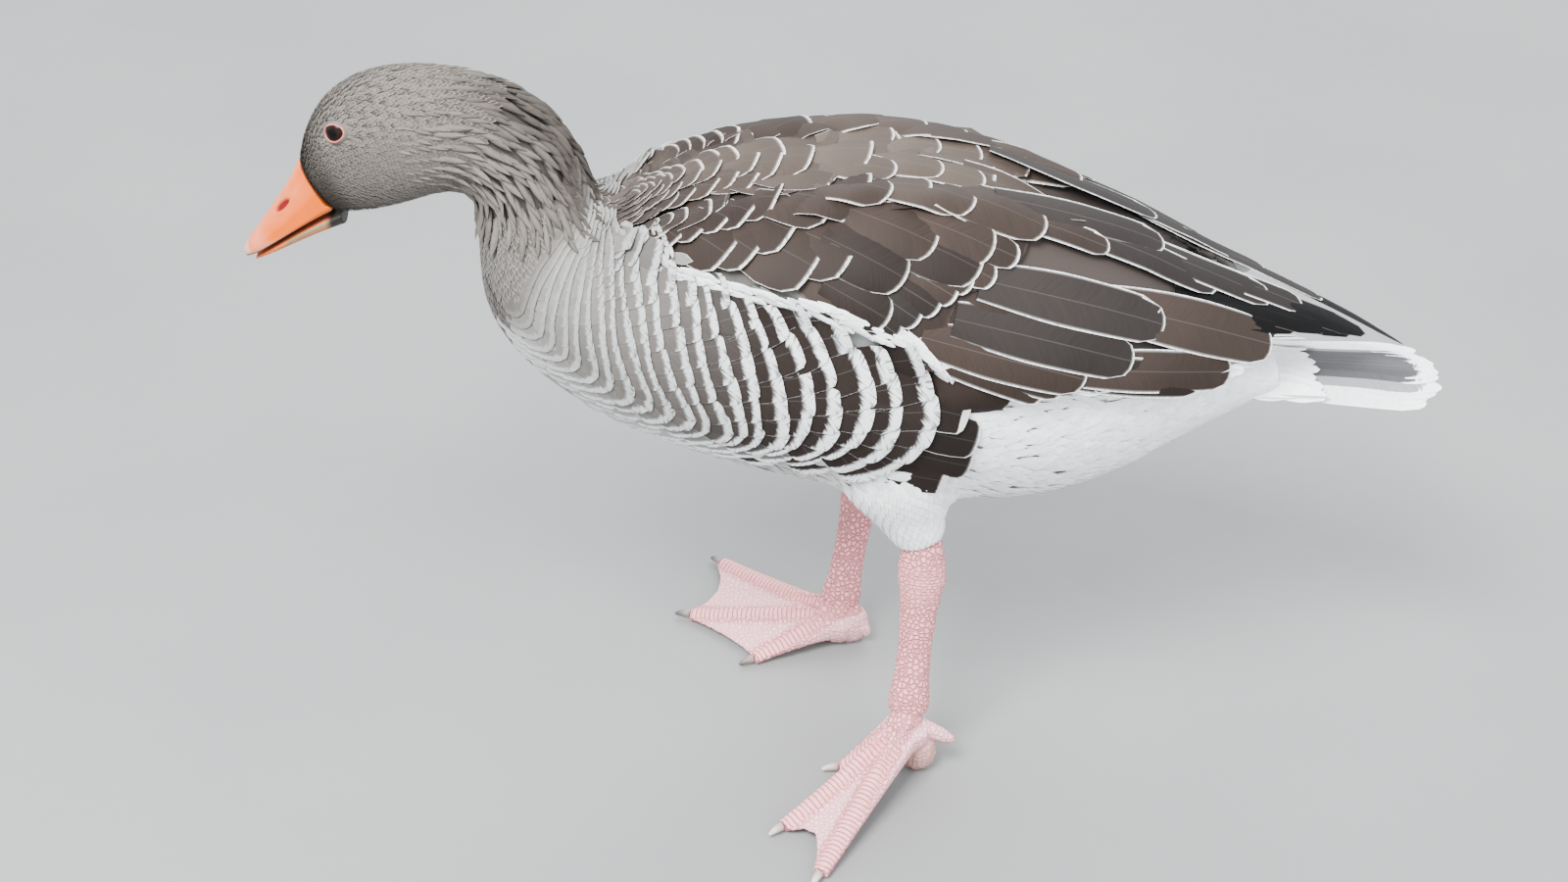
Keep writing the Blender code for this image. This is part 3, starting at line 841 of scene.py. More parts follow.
class Shader(Nodes):
    """The nodes of a new material, which lead to its shader."""

    def __init__(self, name: str, specular: float = 0.5, coat: float = 0.0) -> None:
        """Args: the material's name, its reflections' level, and its clear coat's weight."""
        self.material = bpy.data.materials.new(name)
        self.material.use_nodes = True
        super().__init__(self.material.node_tree)
        self.shader = self.tree.nodes["Principled BSDF"]
        self.shader.inputs["Specular IOR Level"].default_value = specular
        self.shader.inputs["Coat Weight"].default_value = coat

    def place(self) -> Socket:
        """The place in the piece's own coordinates."""
        return self.add("ShaderNodeTexCoord").outputs["Object"]

    def done(
        self, colour: Socket, rough: Socket, height: Socket, relief: float, depth: float
    ) -> Material:
        """Feeds the shader.

        Args:
            colour: its colour.
            rough: its roughness.
            height: its relief's height.
            relief: the strength of the relief.
            depth: how deep the relief is, in metres.

        Returns:
            The material.
        """
        inputs = {"Height": height, "Strength": relief, "Distance": depth}
        bump = self.add("ShaderNodeBump", inputs).outputs[0]
        sockets = {"Base Color": colour, "Roughness": rough, "Normal": bump}
        for name, socket in sockets.items():
            self.tree.links.new(socket, self.shader.inputs[name])
        return self.material


@dataclass(frozen=True)
class VaneFinish:
    """The finish of a coat's vanes."""

    name: str
    relief: float = 0.15
    specular: float = 0.06

    def make(self) -> Material:
        """Builds the material."""
        n = Shader(self.name, self.specular)
        marks = n.add("ShaderNodeAttribute", attribute_name="Marks").outputs
        inputs = {"Vane": n.add("ShaderNodeUVMap", uv_map=VANE_MAP).outputs[0]}
        inputs |= {"Shade": n.attribute("Shade"), "Edge": n.attribute("Edge")}
        inputs |= {"Marks": marks["Vector"], "Slits": marks["Alpha"]}
        inputs["Form"] = n.attribute("Form", "Vector")
        made = n.add("ShaderNodeGroup", node_tree=vane_group())
        for key, value in inputs.items():
            n.tree.links.new(value, made.inputs[key])
        colour, height, rough = made.outputs
        return n.done(colour, rough, height, self.relief, 0.0006)


@dataclass(frozen=True)
class SkinFinish:
    """The skin's finish: dull down under the coat, and scaly legs.

    Attributes:
        name: the material's name.
        cells: the size of the shank's small scales, as a pattern scale.
        band: the length of one of the toes' scutes.
        warm: the colour of its blush.
        crease: the colour between the scales.
        pale: the colour of its grain.
    """

    name: str = "goose_skin"
    cells: float = 310.0
    band: float = 0.0032
    warm: Colour = (0.70, 0.25, 0.24)
    crease: Colour = (0.44, 0.13, 0.16)
    pale: Colour = (0.86, 0.66, 0.62)

    def make(self) -> Material:
        """Builds the material."""
        n = Shader(self.name, 0.4)
        place, shade = n.place(), n.attribute("Shade")
        scaly, band = n.attribute("Scaly", "Fac"), n.attribute("Band", "Fac")
        inputs = {"Vector": place, "Scale": self.cells, "Randomness": 0.8}
        cells = n.add("ShaderNodeTexVoronoi", inputs, feature="DISTANCE_TO_EDGE")
        cell = n.step(cells.outputs["Distance"], 0.01, 0.20)
        along = n.times(n.attribute("Along", "Fac"), 1.0 / self.band)
        wave = n.calc("PINGPONG", n.linear(n.noise(place, 90.0), 0.9, along), 0.5)
        scute = n.step(wave, 0.01, 0.13)
        plate = n.add("ShaderNodeMix", {0: band, 2: cell, 3: scute}).outputs[0]
        grain = n.noise(place, 1400.0)
        blush = n.step(n.noise(place, 45.0, 3.0), 0.3, 0.7)
        colour = n.blend(n.times(blush, 0.35), shade, (*self.warm, 1.0))
        colour = n.blend(n.linear(plate, -0.80, 0.80), colour, (*self.crease, 1.0))
        colour = n.blend(n.times(n.step(grain, 0.45, 0.7), 0.12), colour, (*self.pale, 1.0))
        height = n.times(n.linear(grain, 0.12, plate), scaly)
        rough = n.linear(scaly, -0.35, n.linear(grain, 0.1, 0.78))
        return n.done(n.blend(scaly, shade, colour), rough, height, 1.0, 0.0012)


@dataclass(frozen=True)
class TintedFinish:
    """A finish that reads its colour from the piece and adds mottling and grain.

    Attributes:
        name: the material's name.
        scale: the size of the mottling, as a pattern scale.
        mottle: the strength of the mottling.
        roughness: how rough it is.
        relief: the strength of its grain.
        coat: the weight of a clear coat.
        specular: the level of its reflections.
    """

    name: str
    scale: float
    mottle: float
    roughness: float
    relief: float
    coat: float = 0.0
    specular: float = 0.5

    def make(self) -> Material:
        """Builds the material."""
        n = Shader(self.name, self.specular, self.coat)
        place = n.place()
        cloud, grain = n.noise(place, self.scale, 3.0), n.noise(place, self.scale * 9)
        tone = n.linear(cloud, self.mottle, 1.0 - self.mottle / 2)
        less = n.calc("SUBTRACT", tone, self.mottle * 0.15)
        tone = n.linear(grain, self.mottle * 0.3, less)
        rough = n.linear(grain, 0.16, self.roughness - 0.08)
        colour = n.toned(n.attribute("Shade"), tone)
        return n.done(colour, rough, grain, self.relief, 0.0003)


@dataclass(frozen=True)
class PlainFinish:
    """A smooth finish of one colour that clouds into another.

    Attributes:
        name: the material's name.
        colour: its colour.
        second: the colour that it clouds into.
        scale: the size of the clouds, as a pattern scale.
        roughness: how rough it is.
    """

    name: str
    colour: Colour
    second: Colour
    scale: float
    roughness: float

    def make(self) -> Material:
        """Builds the material."""
        n = Shader(self.name)
        place = n.place()
        cloud = n.step(n.noise(place, self.scale), 0.35, 0.65)
        colour = n.blend(cloud, (*self.colour, 1.0), (*self.second, 1.0))
        grain = n.noise(place, self.scale * 18)
        rough = n.linear(grain, 0.2, self.roughness - 0.1)
        return n.done(colour, rough, grain, 0.0, 0.0003)


EYE_GLASS = TintedFinish("eye_glass", 300.0, 0.3, roughness=0.10, relief=0.0, specular=0.07)
BILL_HORN = TintedFinish("bill_horn", 150.0, 0.30, roughness=0.42, relief=0.25, specular=0.10)
CLAW_HORN = TintedFinish("claw_horn", 400.0, 0.4, roughness=0.45, relief=0.3, coat=0.1)
FLOOR = PlainFinish("floor", (0.21, 0.21, 0.205), (0.195, 0.195, 0.192), 3.0, 0.8)


# ---- colours of the coat ----

WHITE = (0.84, 0.85, 0.85)
CREAM = (0.36, 0.32, 0.275)
GREY = (0.122, 0.107, 0.096)
LORE = (0.034, 0.028, 0.024)
NAPE = (0.046, 0.038, 0.032)
FORENECK = (0.095, 0.084, 0.074)
BREAST = (0.205, 0.20, 0.187)
STRIPE = (0.072, 0.058, 0.050)
BROWN = (0.030, 0.0212, 0.0174)
DARK = (0.0195, 0.0145, 0.0125)
SLATE = (0.0215, 0.0175, 0.0160)
BLACK = (0.0035, 0.0032, 0.0032)
# Very dark: painted shade in the neck's furrows, on the neck vanes' edges, round the eye and at
# the bill's corner; in the furrows also the down's own dark
DOWN_AND_SHADE = (0.02, 0.018, 0.016)
PAINTED_SHEEN = (0.32, 0.245, 0.195)  # painted highlight: the back's top, paler where the light falls on it
PINK = (0.84, 0.33, 0.335)


def between(pairs: tuple, value: float) -> float:
    """Looks a value up in a table of pairs, with straight lines between them."""
    return float(np.interp(value, *zip(*pairs)))


def flank_top(s: float) -> float:
    """The degrees at which the flank's feathers overlap the folded wing."""
    stations = (12.0, 12.9, 15.0, 15.85, 17.2, 18.35, 19.0, 19.4)
    return float(np.interp(s, stations, (12, 22, 58, 59, 63, 70, 82, 90)))


def wing_edge(s: float) -> float:
    """The degrees at which the wing's brown gives way to the flank or the white rear."""
    if s < 19.2:
        return flank_top(s)
    return float(np.interp(s, (19.2, 20.4, 22.0, 23.5, 24.5, 26.0), (86, 74, 70, 56, 45, 40)))


def flank_lean(s: float) -> float:
    """How far a row of the flank drops to the rear, in stations per degree."""
    return float(np.interp(s, (12.0, 15.3, 17.0, 18.2), (0.038, 0.036, 0.018, 0.003)))


def flank_line(level: float, degrees: float) -> float:
    """The station of a flank row at an angle, for the row that is at this level at 90."""
    bow = 0.0006 * ramp(15.8, 18.2, level) * (degrees - 95.0) ** 2
    return level + flank_lean(level) * (degrees - 90.0) * ramp(150, 110, degrees) - bow


def body_colour(s: float, degrees: float) -> Colour:
    """The plumage's ground colour at a place, which skin and coat share.

    Args:
        s: the station.
        degrees: the angle round from the back.

    Returns:
        The colour.
    """
    lore = plateau(-1.0, 0.0, 0.6, 1.7, s) * ramp(0, 30, degrees) * ramp(165, 120, degrees)
    head = mix(mix(GREY, NAPE, 0.25 * ramp(55, 15, degrees)), LORE, lore)
    neck = mix(GREY, NAPE, 0.3 + 0.7 * ramp(80, 10, degrees))
    low_neck = mix(FORENECK, NAPE, 0.8 * ramp(75, 30, degrees))
    breast = mix(BREAST, WHITE, ramp(110, 160, degrees) * ramp(13, 17, s))
    white = mix(breast, WHITE, ramp(17.2, 18.8, s))
    colour = mix(head, neck, ramp(4.0, 6.0, s))
    colour = mix(colour, low_neck, ramp(9.5, 11.0, s))
    across = min(max(degrees, 55), 120) - 90
    colour = mix(colour, white, ramp(11.8, 13.2, s - flank_lean(s) * across))
    back = ramp(wing_edge(s) + 1, wing_edge(s) - 6, degrees) * ramp(10.8, 12.0, s)
    return mix(colour, mix(BROWN, SLATE, ramp(20, 23, s)), back)


# ---- skin ----


@dataclass(frozen=True)
class Limb:
    """The main points of one leg, down to where the toes join, and the toes' ends."""

    side: Side
    knee: Vector
    cuff: Vector
    ankle: Vector
    joint: Vector
    ball: Vector
    ends: tuple[Vector, Vector, Vector]


def limb_of(side: Side, *places: tuple[float, float, float]) -> Limb:
    """A limb from its points, the toes' ends last."""
    points = [Vector(place) for place in places]
    return Limb(side, *points[:5], tuple(points[5:]))


LIMBS = (
    limb_of(
        Side.LEFT,
        (0.0239, -0.0139, 0.215), (0.0419, -0.0249, 0.150), (0.0432, -0.0289, 0.130),
        (0.0351, -0.0539, 0.036), (0.0426, -0.0524, 0.0137),
        (-0.006, -0.058, 0.003), (-0.041, -0.112, 0.004), (-0.019, -0.152, 0.004),
    ),
    limb_of(
        Side.RIGHT,
        (-0.0051, 0.1021, 0.205), (0.0089, 0.1031, 0.130), (0.0109, 0.1031, 0.108),
        (-0.0051, 0.0761, 0.020), (0.0039, 0.0761, 0.0130),
        (-0.061, 0.049, 0.003), (-0.104, 0.097, 0.004), (-0.084, 0.154, 0.004),
    ),
)


def from_line(co: Array, start: Vector, end: Vector) -> tuple[Array, Array]:
    """How far each point lies from a straight line, and how far along it.

    Args:
        co: the points.
        start: the line's start.
        end: its end.

    Returns:
        The distances from the line and along it.
    """
    a, b = np.array(start), np.array(end)
    length = float(np.linalg.norm(b - a))
    along = np.clip((co - a) @ ((b - a) / length), 0.0, length)
    foot = a + along[:, None] * (b - a) / length
    return np.linalg.norm(co - foot, axis=1), along


def apart(co: Array, point: Vector) -> Array:
    """How far each point lies from a place."""
    return np.linalg.norm(co - np.array(point), axis=1)


class Skin:
    """The goose's one skin, which lies inside the solids by the coat's depth."""

    TRUNK = ("head", "neck_upper", "neck_lower", "trunk", "thigh_left", "thigh_right")
    WINGS = ("wing_left", "wing_right")
    LEGS = (("shank_left", "foot_left"), ("shank_right", "foot_right"))
    EYES = ((Side.LEFT, "eye_left"), (Side.RIGHT, "eye_right"))
    BODY_VOXEL, LEG_VOXEL = 0.0038, 0.0011
    BRIDGE = 0.004  # half of the widest slit that the skin runs across
    WING_END = 0.228  # the skin's wings stop here, and the flight feathers go on alone
    FREE_BEHIND, FREE_ABOVE = (-0.17, 0.04), (0.15, 0.04)  # where the trunk is smoothed more
    THIN, MORE = 0.0012, 0.0028  # the coat's depth on the head, and what the body adds
    SOCKET = 0.0005  # fills the socket round the eyeball
    EYE_AT = (2.30, 57.0)  # station and degrees
    GAZE = Vector((-0.25, 0.0, -0.04))  # turns the eyes forward of the cheek's own facing
    EYE_LEVEL = Vector((1.0, 0.0, 0.20))  # the way the lids run
    BESIDE_EYE = 0.018  # the head's surface gives way to the lids within this
    LID_HALVES, LID_THICK = (0.0067, 0.0050), 0.0005
    LID_COLOUR = (0.50, 0.15, 0.10)
    WEB, PAD = (0.84, 0.45, 0.48), (0.36, 0.23, 0.17)
    SCUTE_DEPTH = 0.00022

    def __init__(self, axis: BodyAxis) -> None:
        """Args: the body's coordinates."""
        self.axis = axis
        self.envelope = self.remeshed(self.body_source(), self.BODY_VOXEL, 8, self.BRIDGE)
        co = coordinates(self.envelope)
        above = np.maximum(rise(co[:, 2:], *self.FREE_ABOVE), 0.1)
        relax(self.envelope, 110, rise(co[:, :1], *self.FREE_BEHIND) * above)
        surface = Surface(self.axis, self.envelope)
        self.gazes = {side: self.gaze(surface, side) for side in Side}
        for side, name in self.EYES:
            self.press_socket(side, name)

    def body_source(self) -> BMesh:
        """The solids of the body with the front of the wings."""
        bm = node_bmesh(*self.TRUNK)
        for _, name in self.EYES:
            centre, radius = eyeball(name)
            ball = {"radius": radius + self.SOCKET, "matrix": Matrix.Translation(centre)}
            bmesh.ops.create_uvsphere(bm, u_segments=32, v_segments=20, **ball)
        wings = node_bmesh(*self.WINGS)
        everything = wings.verts[:] + wings.edges[:] + wings.faces[:]
        plane = {"plane_co": (self.WING_END, 0, 0), "plane_no": (1, 0, 0), "clear_outer": True}
        cut = bmesh.ops.bisect_plane(wings, geom=everything, **plane)
        rims = [e for e in cut["geom_cut"] if isinstance(e, bmesh.types.BMEdge)]
        bmesh.ops.holes_fill(wings, edges=rims, sides=0)
        mesh = from_bmesh("wings", wings)
        bm.from_mesh(mesh)
        bpy.data.meshes.remove(mesh)
        return bm

    def remeshed(self, bm: BMesh, voxel: float, rounds: int, bridge: float = 0.0) -> Mesh:
        """One even mesh round the solids.

        Args:
            bm: the solids.
            voxel: the size of its faces.
            rounds: how much it is smoothed.
            bridge: half of the widest slit that it runs across.

        Returns:
            The mesh.
        """
        values = {"mode": "VOXEL", "voxel_size": voxel, "adaptivity": 0.0}
        mesh = with_modifiers(from_bmesh("body", bm), ("REMESH", values))
        if bridge:
            relax(mesh, 2)
            set_coordinates(mesh, coordinates(mesh) + normals_of(mesh) * bridge)
            mesh = outermost(with_modifiers(mesh, ("REMESH", values)))
            relax(mesh, 3)
            set_coordinates(mesh, coordinates(mesh) - normals_of(mesh) * bridge)
        relax(mesh, rounds)
        return mesh

    def depth(self, co: Array) -> Array:
        """The coat's depth at each point: thin on the head and the wings' ends."""
        wing_end = rise(co[:, 0], 0.20, 0.05)
        return self.THIN + self.MORE * rise(co[:, 0], -0.27, 0.16) * (1.0 - 0.7 * wing_end)

    def build(self, material: Material) -> None:
        """Makes the piece that stands for all the nodes of flesh.

        Args:
            material: the skin's finish.
        """
        body = self.envelope.copy()
        co = coordinates(body)
        set_coordinates(body, co - normals_of(body) * self.depth(co)[:, None])
        parts = [self.marked(body, self.body_shades(coordinates(body)), 0.0)]
        parts += [self.leg(limb, names) for limb, names in zip(LIMBS, self.LEGS)]
        # the fold lies out under the feathers: darkened a little, as painted shade
        fold_in_shade = mix(body_colour(*self.EYE_AT), DOWN_AND_SHADE, 0.12)
        for side, name in self.EYES:
            parts.append(self.marked(self.lids(side, name), self.LID_COLOUR, 0.3))
            parts.append(self.marked(self.fold(side, name), fold_in_shade, 0.0))
        whole = merged("goose_skin", parts)
        piece = link("goose_skin", whole, material)
        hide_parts(*self.TRUNK, *self.WINGS, *(n for names in self.LEGS for n in names))
        log.info("goose_skin: %d triangles", sum(len(p.vertices) - 2 for p in whole.polygons))

    def marked(
        self, mesh: Mesh, shade: Array | Colour, scaly: Array | float,
        along: Array | float = 0.0, band: Array | float = 0.0,
    ) -> Mesh:
        """Stores a part's colours, and how and where it is scaly, on its vertices.

        Args:
            mesh: the part.
            shade: its colour, or each vertex's.
            scaly: how scaly it is, from 0 to 1.
            along: how far along the leg or toe it is.
            band: how far its scales are bands, from 0 to 1.

        Returns:
            The same mesh.
        """
        count = len(mesh.vertices)
        shade_points(mesh, np.broadcast_to(shade, (count, 3)))
        for name, values in (("Scaly", scaly), ("Along", along), ("Band", band)):
            point_attribute(mesh, name, np.zeros(count) + values)
        return mesh

    def body_shades(self, co: Array) -> Array:
        """The plumage's colour at each point, darker in the neck's furrows as painted shade.

        Args:
            co: the points.

        Returns:
            Their colours.
        """
        stations = np.linspace(0.0, len(self.axis.table) - 1.0, 240)
        lines = np.array([self.axis.values(s) for s in stations])
        lean = np.radians(lines[:, 2])
        shades = np.empty((len(co), 3))
        for i, (x, y, z) in enumerate(co):
            dx, dz = x - lines[:, 0], z - lines[:, 1]
            off = np.abs(dx * np.cos(lean) - dz * np.sin(lean)) + 0.15 * np.hypot(dx, dz)
            k = int(np.argmin(off))
            up = dx[k] * math.sin(lean[k]) + dz[k] * math.cos(lean[k])
            degrees = math.degrees(math.atan2(abs(y - self.axis.midline), up))
            # the skin in the furrows is darkened: painted shade of the grooves, with the down's
            # dark
            furrow_shade = plateau(4.2, 5.4, 10.4, 11.6, stations[k])
            shades[i] = mix(body_colour(stations[k], degrees), DOWN_AND_SHADE, 0.75 * furrow_shade)
        return shades

    def leg(self, limb: Limb, names: tuple[str, str]) -> Mesh:
        """One shank and foot, with scutes pressed into the toes.

        Args:
            limb: its main points.
            names: its nodes.

        Returns:
            The marked mesh.
        """
        mesh = self.remeshed(node_bmesh(*names), self.LEG_VOXEL, 3)
        co, up = coordinates(mesh), normals_of(mesh)
        offs, alongs = zip(*(from_line(co, limb.joint, end) for end in limb.ends))
        off, along = np.min(offs, axis=0), np.choose(np.argmin(offs, axis=0), alongs)
        _, shank_along = from_line(co, limb.cuff, limb.joint)
        low = co[:, 2] < limb.joint.z + 0.004
        on_toe = np.where(low, rise(off, 0.0075, -0.003) * np.clip(up[:, 2] * 3, 0, 1), 0.0)
        wrinkled = rise(apart(co, limb.ankle), 0.021, -0.014)
        wrinkled += rise(apart(co, limb.joint), 0.0156, -0.012)
        band = np.maximum(on_toe, np.where(low, 0.0, np.minimum(wrinkled, 1)) * 0.8)
        along = np.where(low, along, shank_along * 1.6)
        crease = np.abs((along / SkinFinish.band + 0.4) % 1.0 - 0.5) * 2.0
        press = self.SCUTE_DEPTH * rise(crease, 0.7, 0.3) * band
        set_coordinates(mesh, co - up * press[:, None])
        web = np.where(low, rise(off, 0.006, 0.004), 0.0)
        pad = rise(apart(co, limb.ball), 0.0272, -0.0085) * rise(co[:, 2], 0.027, -0.008)
        pad *= rise(up[:, 2], 1.0, -0.625) * (0.8 if limb.side is Side.LEFT else 0.32)
        shade = paint(np.tile(PINK, (len(co), 1)), self.WEB, web)
        return self.marked(mesh, paint(shade, self.PAD, pad), 1.0 - 0.55 * web, along, band)

    def gaze(self, surface: Surface, side: Side) -> tuple[Vector, Vector, Vector]:
        """The eye's axes: outwards, back along the head, and up.

        Args:
            surface: the head's surface.
            side: the eye's side.

        Returns:
            The three axes.
        """
        s, degrees = self.EYE_AT
        around = ((s - 0.8, degrees), (s + 0.9, degrees), (s, degrees - 20), (s, degrees + 22))
        spots = [surface.spot(a, b, side.value) for a, b in around]
        out = sum((p.normal for p in spots if p), Vector()).normalized()
        out = (out + self.GAZE).normalized()
        back = flat(self.EYE_LEVEL, out)
        up = back.cross(out)
        return out, back, up if up.z > 0 else -up

    def press_socket(self, side: Side, name: str) -> None:
        """Lowers the head's surface where it would stand over the lids' ring.

        Args:
            side: the eye's side.
            name: its node.
        """
        centre, radius = eyeball(name)
        out = np.array(self.gazes[side][0])
        co = coordinates(self.envelope)
        away = co - np.array(centre)
        height = away @ out
        off = np.linalg.norm(away - height[:, None] * out, axis=1)
        reach = self.LID_HALVES[0]
        ball = np.sqrt(np.maximum(radius**2 - np.minimum(off, reach) ** 2, 0.0))
        over = np.maximum(height - ball - 0.45 * np.maximum(off - reach, 0.0), 0.0)
        near = (off < self.BESIDE_EYE) & (height > 0.0)
        set_coordinates(self.envelope, co - out * np.where(near, over, 0.0)[:, None])

    def lids(self, side: Side, name: str) -> Mesh:
        """The bare ring of the eye's lids, an almond that lies on the eyeball.

        Args:
            side: its side.
            name: the eye's node.

        Returns:
            The mesh.
        """
        centre, radius = eyeball(name)
        out, back, up = self.gazes[side]
        bm = bmesh.new()
        made = bmesh.ops.create_circle(bm, segments=10, radius=self.LID_THICK)
        bmesh.ops.rotate(bm, verts=bm.verts, matrix=Matrix.Rotation(math.pi / 2, 3, "X"))
        bmesh.ops.translate(bm, verts=bm.verts, vec=(1.0, 0.0, 0.0))
        full = {"axis": (0, 0, 1), "cent": (0, 0, 0), "angle": 2 * math.pi, "steps": 48}
        full |= {"use_merge": True, "use_duplicate": False}
        bmesh.ops.spin(bm, geom=made["verts"] + bm.edges[:], **full)
        for v in bm.verts:
            turn = math.atan2(v.co.y, v.co.x)
            thick = math.hypot(v.co.x, v.co.y) - 1.0
            a, b = self.LID_HALVES
            round_a, round_b = a * math.cos(turn), b * math.sin(turn)
            reach = math.hypot(round_a, round_b)
            crease = 1.0 + 0.25 * math.cos(turn) ** 6
            height = math.sqrt(max(radius**2 - reach**2, 0.0)) + v.co.z * 1.2
            place = back * round_a + up * round_b
            v.co = centre + place * (1 + thick * crease / reach) + out * height
        return from_bmesh("lids", bm)

    def fold(self, side: Side, name: str) -> Mesh:
        """The lids' soft skin, in a low fold from the bare ring out under the feathers.

        Args:
            side: its side.
            name: the eye's node.

        Returns:
            The mesh.
        """
        centre, radius = eyeball(name)
        out, back, up = self.gazes[side]
        bm = bmesh.new()
        bmesh.ops.create_grid(bm, x_segments=48, y_segments=6, size=0.5)
        for v in bm.verts:
            turn, share = (v.co.x + 0.5) * 2 * math.pi, v.co.y + 0.5
            a, b = ((0.98 + 0.55 * share) * half for half in self.LID_HALVES)
            round_a, round_b = a * math.cos(turn), b * math.sin(turn)
            ball = radius + 0.0003 + 0.0002 * math.sin(2 * math.pi * share)
            height = math.sqrt(max(ball**2 - round_a**2 - round_b**2, 0.0))
            v.co = centre + back * round_a + up * round_b + out * height
        bmesh.ops.remove_doubles(bm, verts=bm.verts, dist=1e-5)
        return to_mesh("fold", bm)


# ---- head's hard parts, and the claws ----


class Eyes:
    """The eyeballs, nearly black, with a slightly paler iris."""

    INSIDE = 0.0001  # how far they lie inside the solid ones
    INNER, OUTER = (19, 3), (52, -10)  # degrees where the iris starts and ends
    BLACK, IRIS = (0.003, 0.0024, 0.0024), (0.008, 0.0035, 0.0018)

    def __init__(self, skin: Skin) -> None:
        """Args: the skin, which knows where the eyes look."""
        self.skin = skin

    def build(self, material: Material) -> None:
        """Makes both eyes.

        Args:
            material: their finish.
        """
        for side, name in self.skin.EYES:
            centre, radius = eyeball(name)
            out, _, _ = self.skin.gazes[side]
            bm = bmesh.new()
            ball = radius - self.INSIDE
            bmesh.ops.create_uvsphere(bm, u_segments=40, v_segments=28, radius=ball)
            turn = out.to_track_quat("Z", "Y").to_matrix()
            bmesh.ops.rotate(bm, verts=bm.verts, matrix=turn)
            bmesh.ops.translate(bm, verts=bm.verts, vec=centre)
            mesh = from_bmesh(f"eyeball_{side.name.lower()}", bm)
            co = coordinates(mesh) - np.array(centre)
            cosine = co @ np.array(out) / np.linalg.norm(co, axis=1)
            angle = np.degrees(np.arccos(np.clip(cosine, -1, 1)))[:, None]
            iris = rise(angle, *self.INNER) * rise(angle, *self.OUTER)
            shade_points(mesh, np.array(self.BLACK) + iris * np.array(self.IRIS))
            piece = link(mesh.name, mesh, material)
            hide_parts(name)
            log.info("%s", piece.name)


@dataclass(frozen=True)
class BillColours:
    """The horn's colours."""

    orange: Colour = (0.62, 0.100, 0.0)
    pink: Colour = (0.64, 0.175, 0.085)
    cream: Colour = (0.50, 0.30, 0.21)
    red: Colour = (0.15, 0.006, 0.008)
    rim: Colour = (0.50, 0.18, 0.10)
    buff: Colour = (0.27, 0.215, 0.12)
    line: Colour = (0.10, 0.045, 0.028)


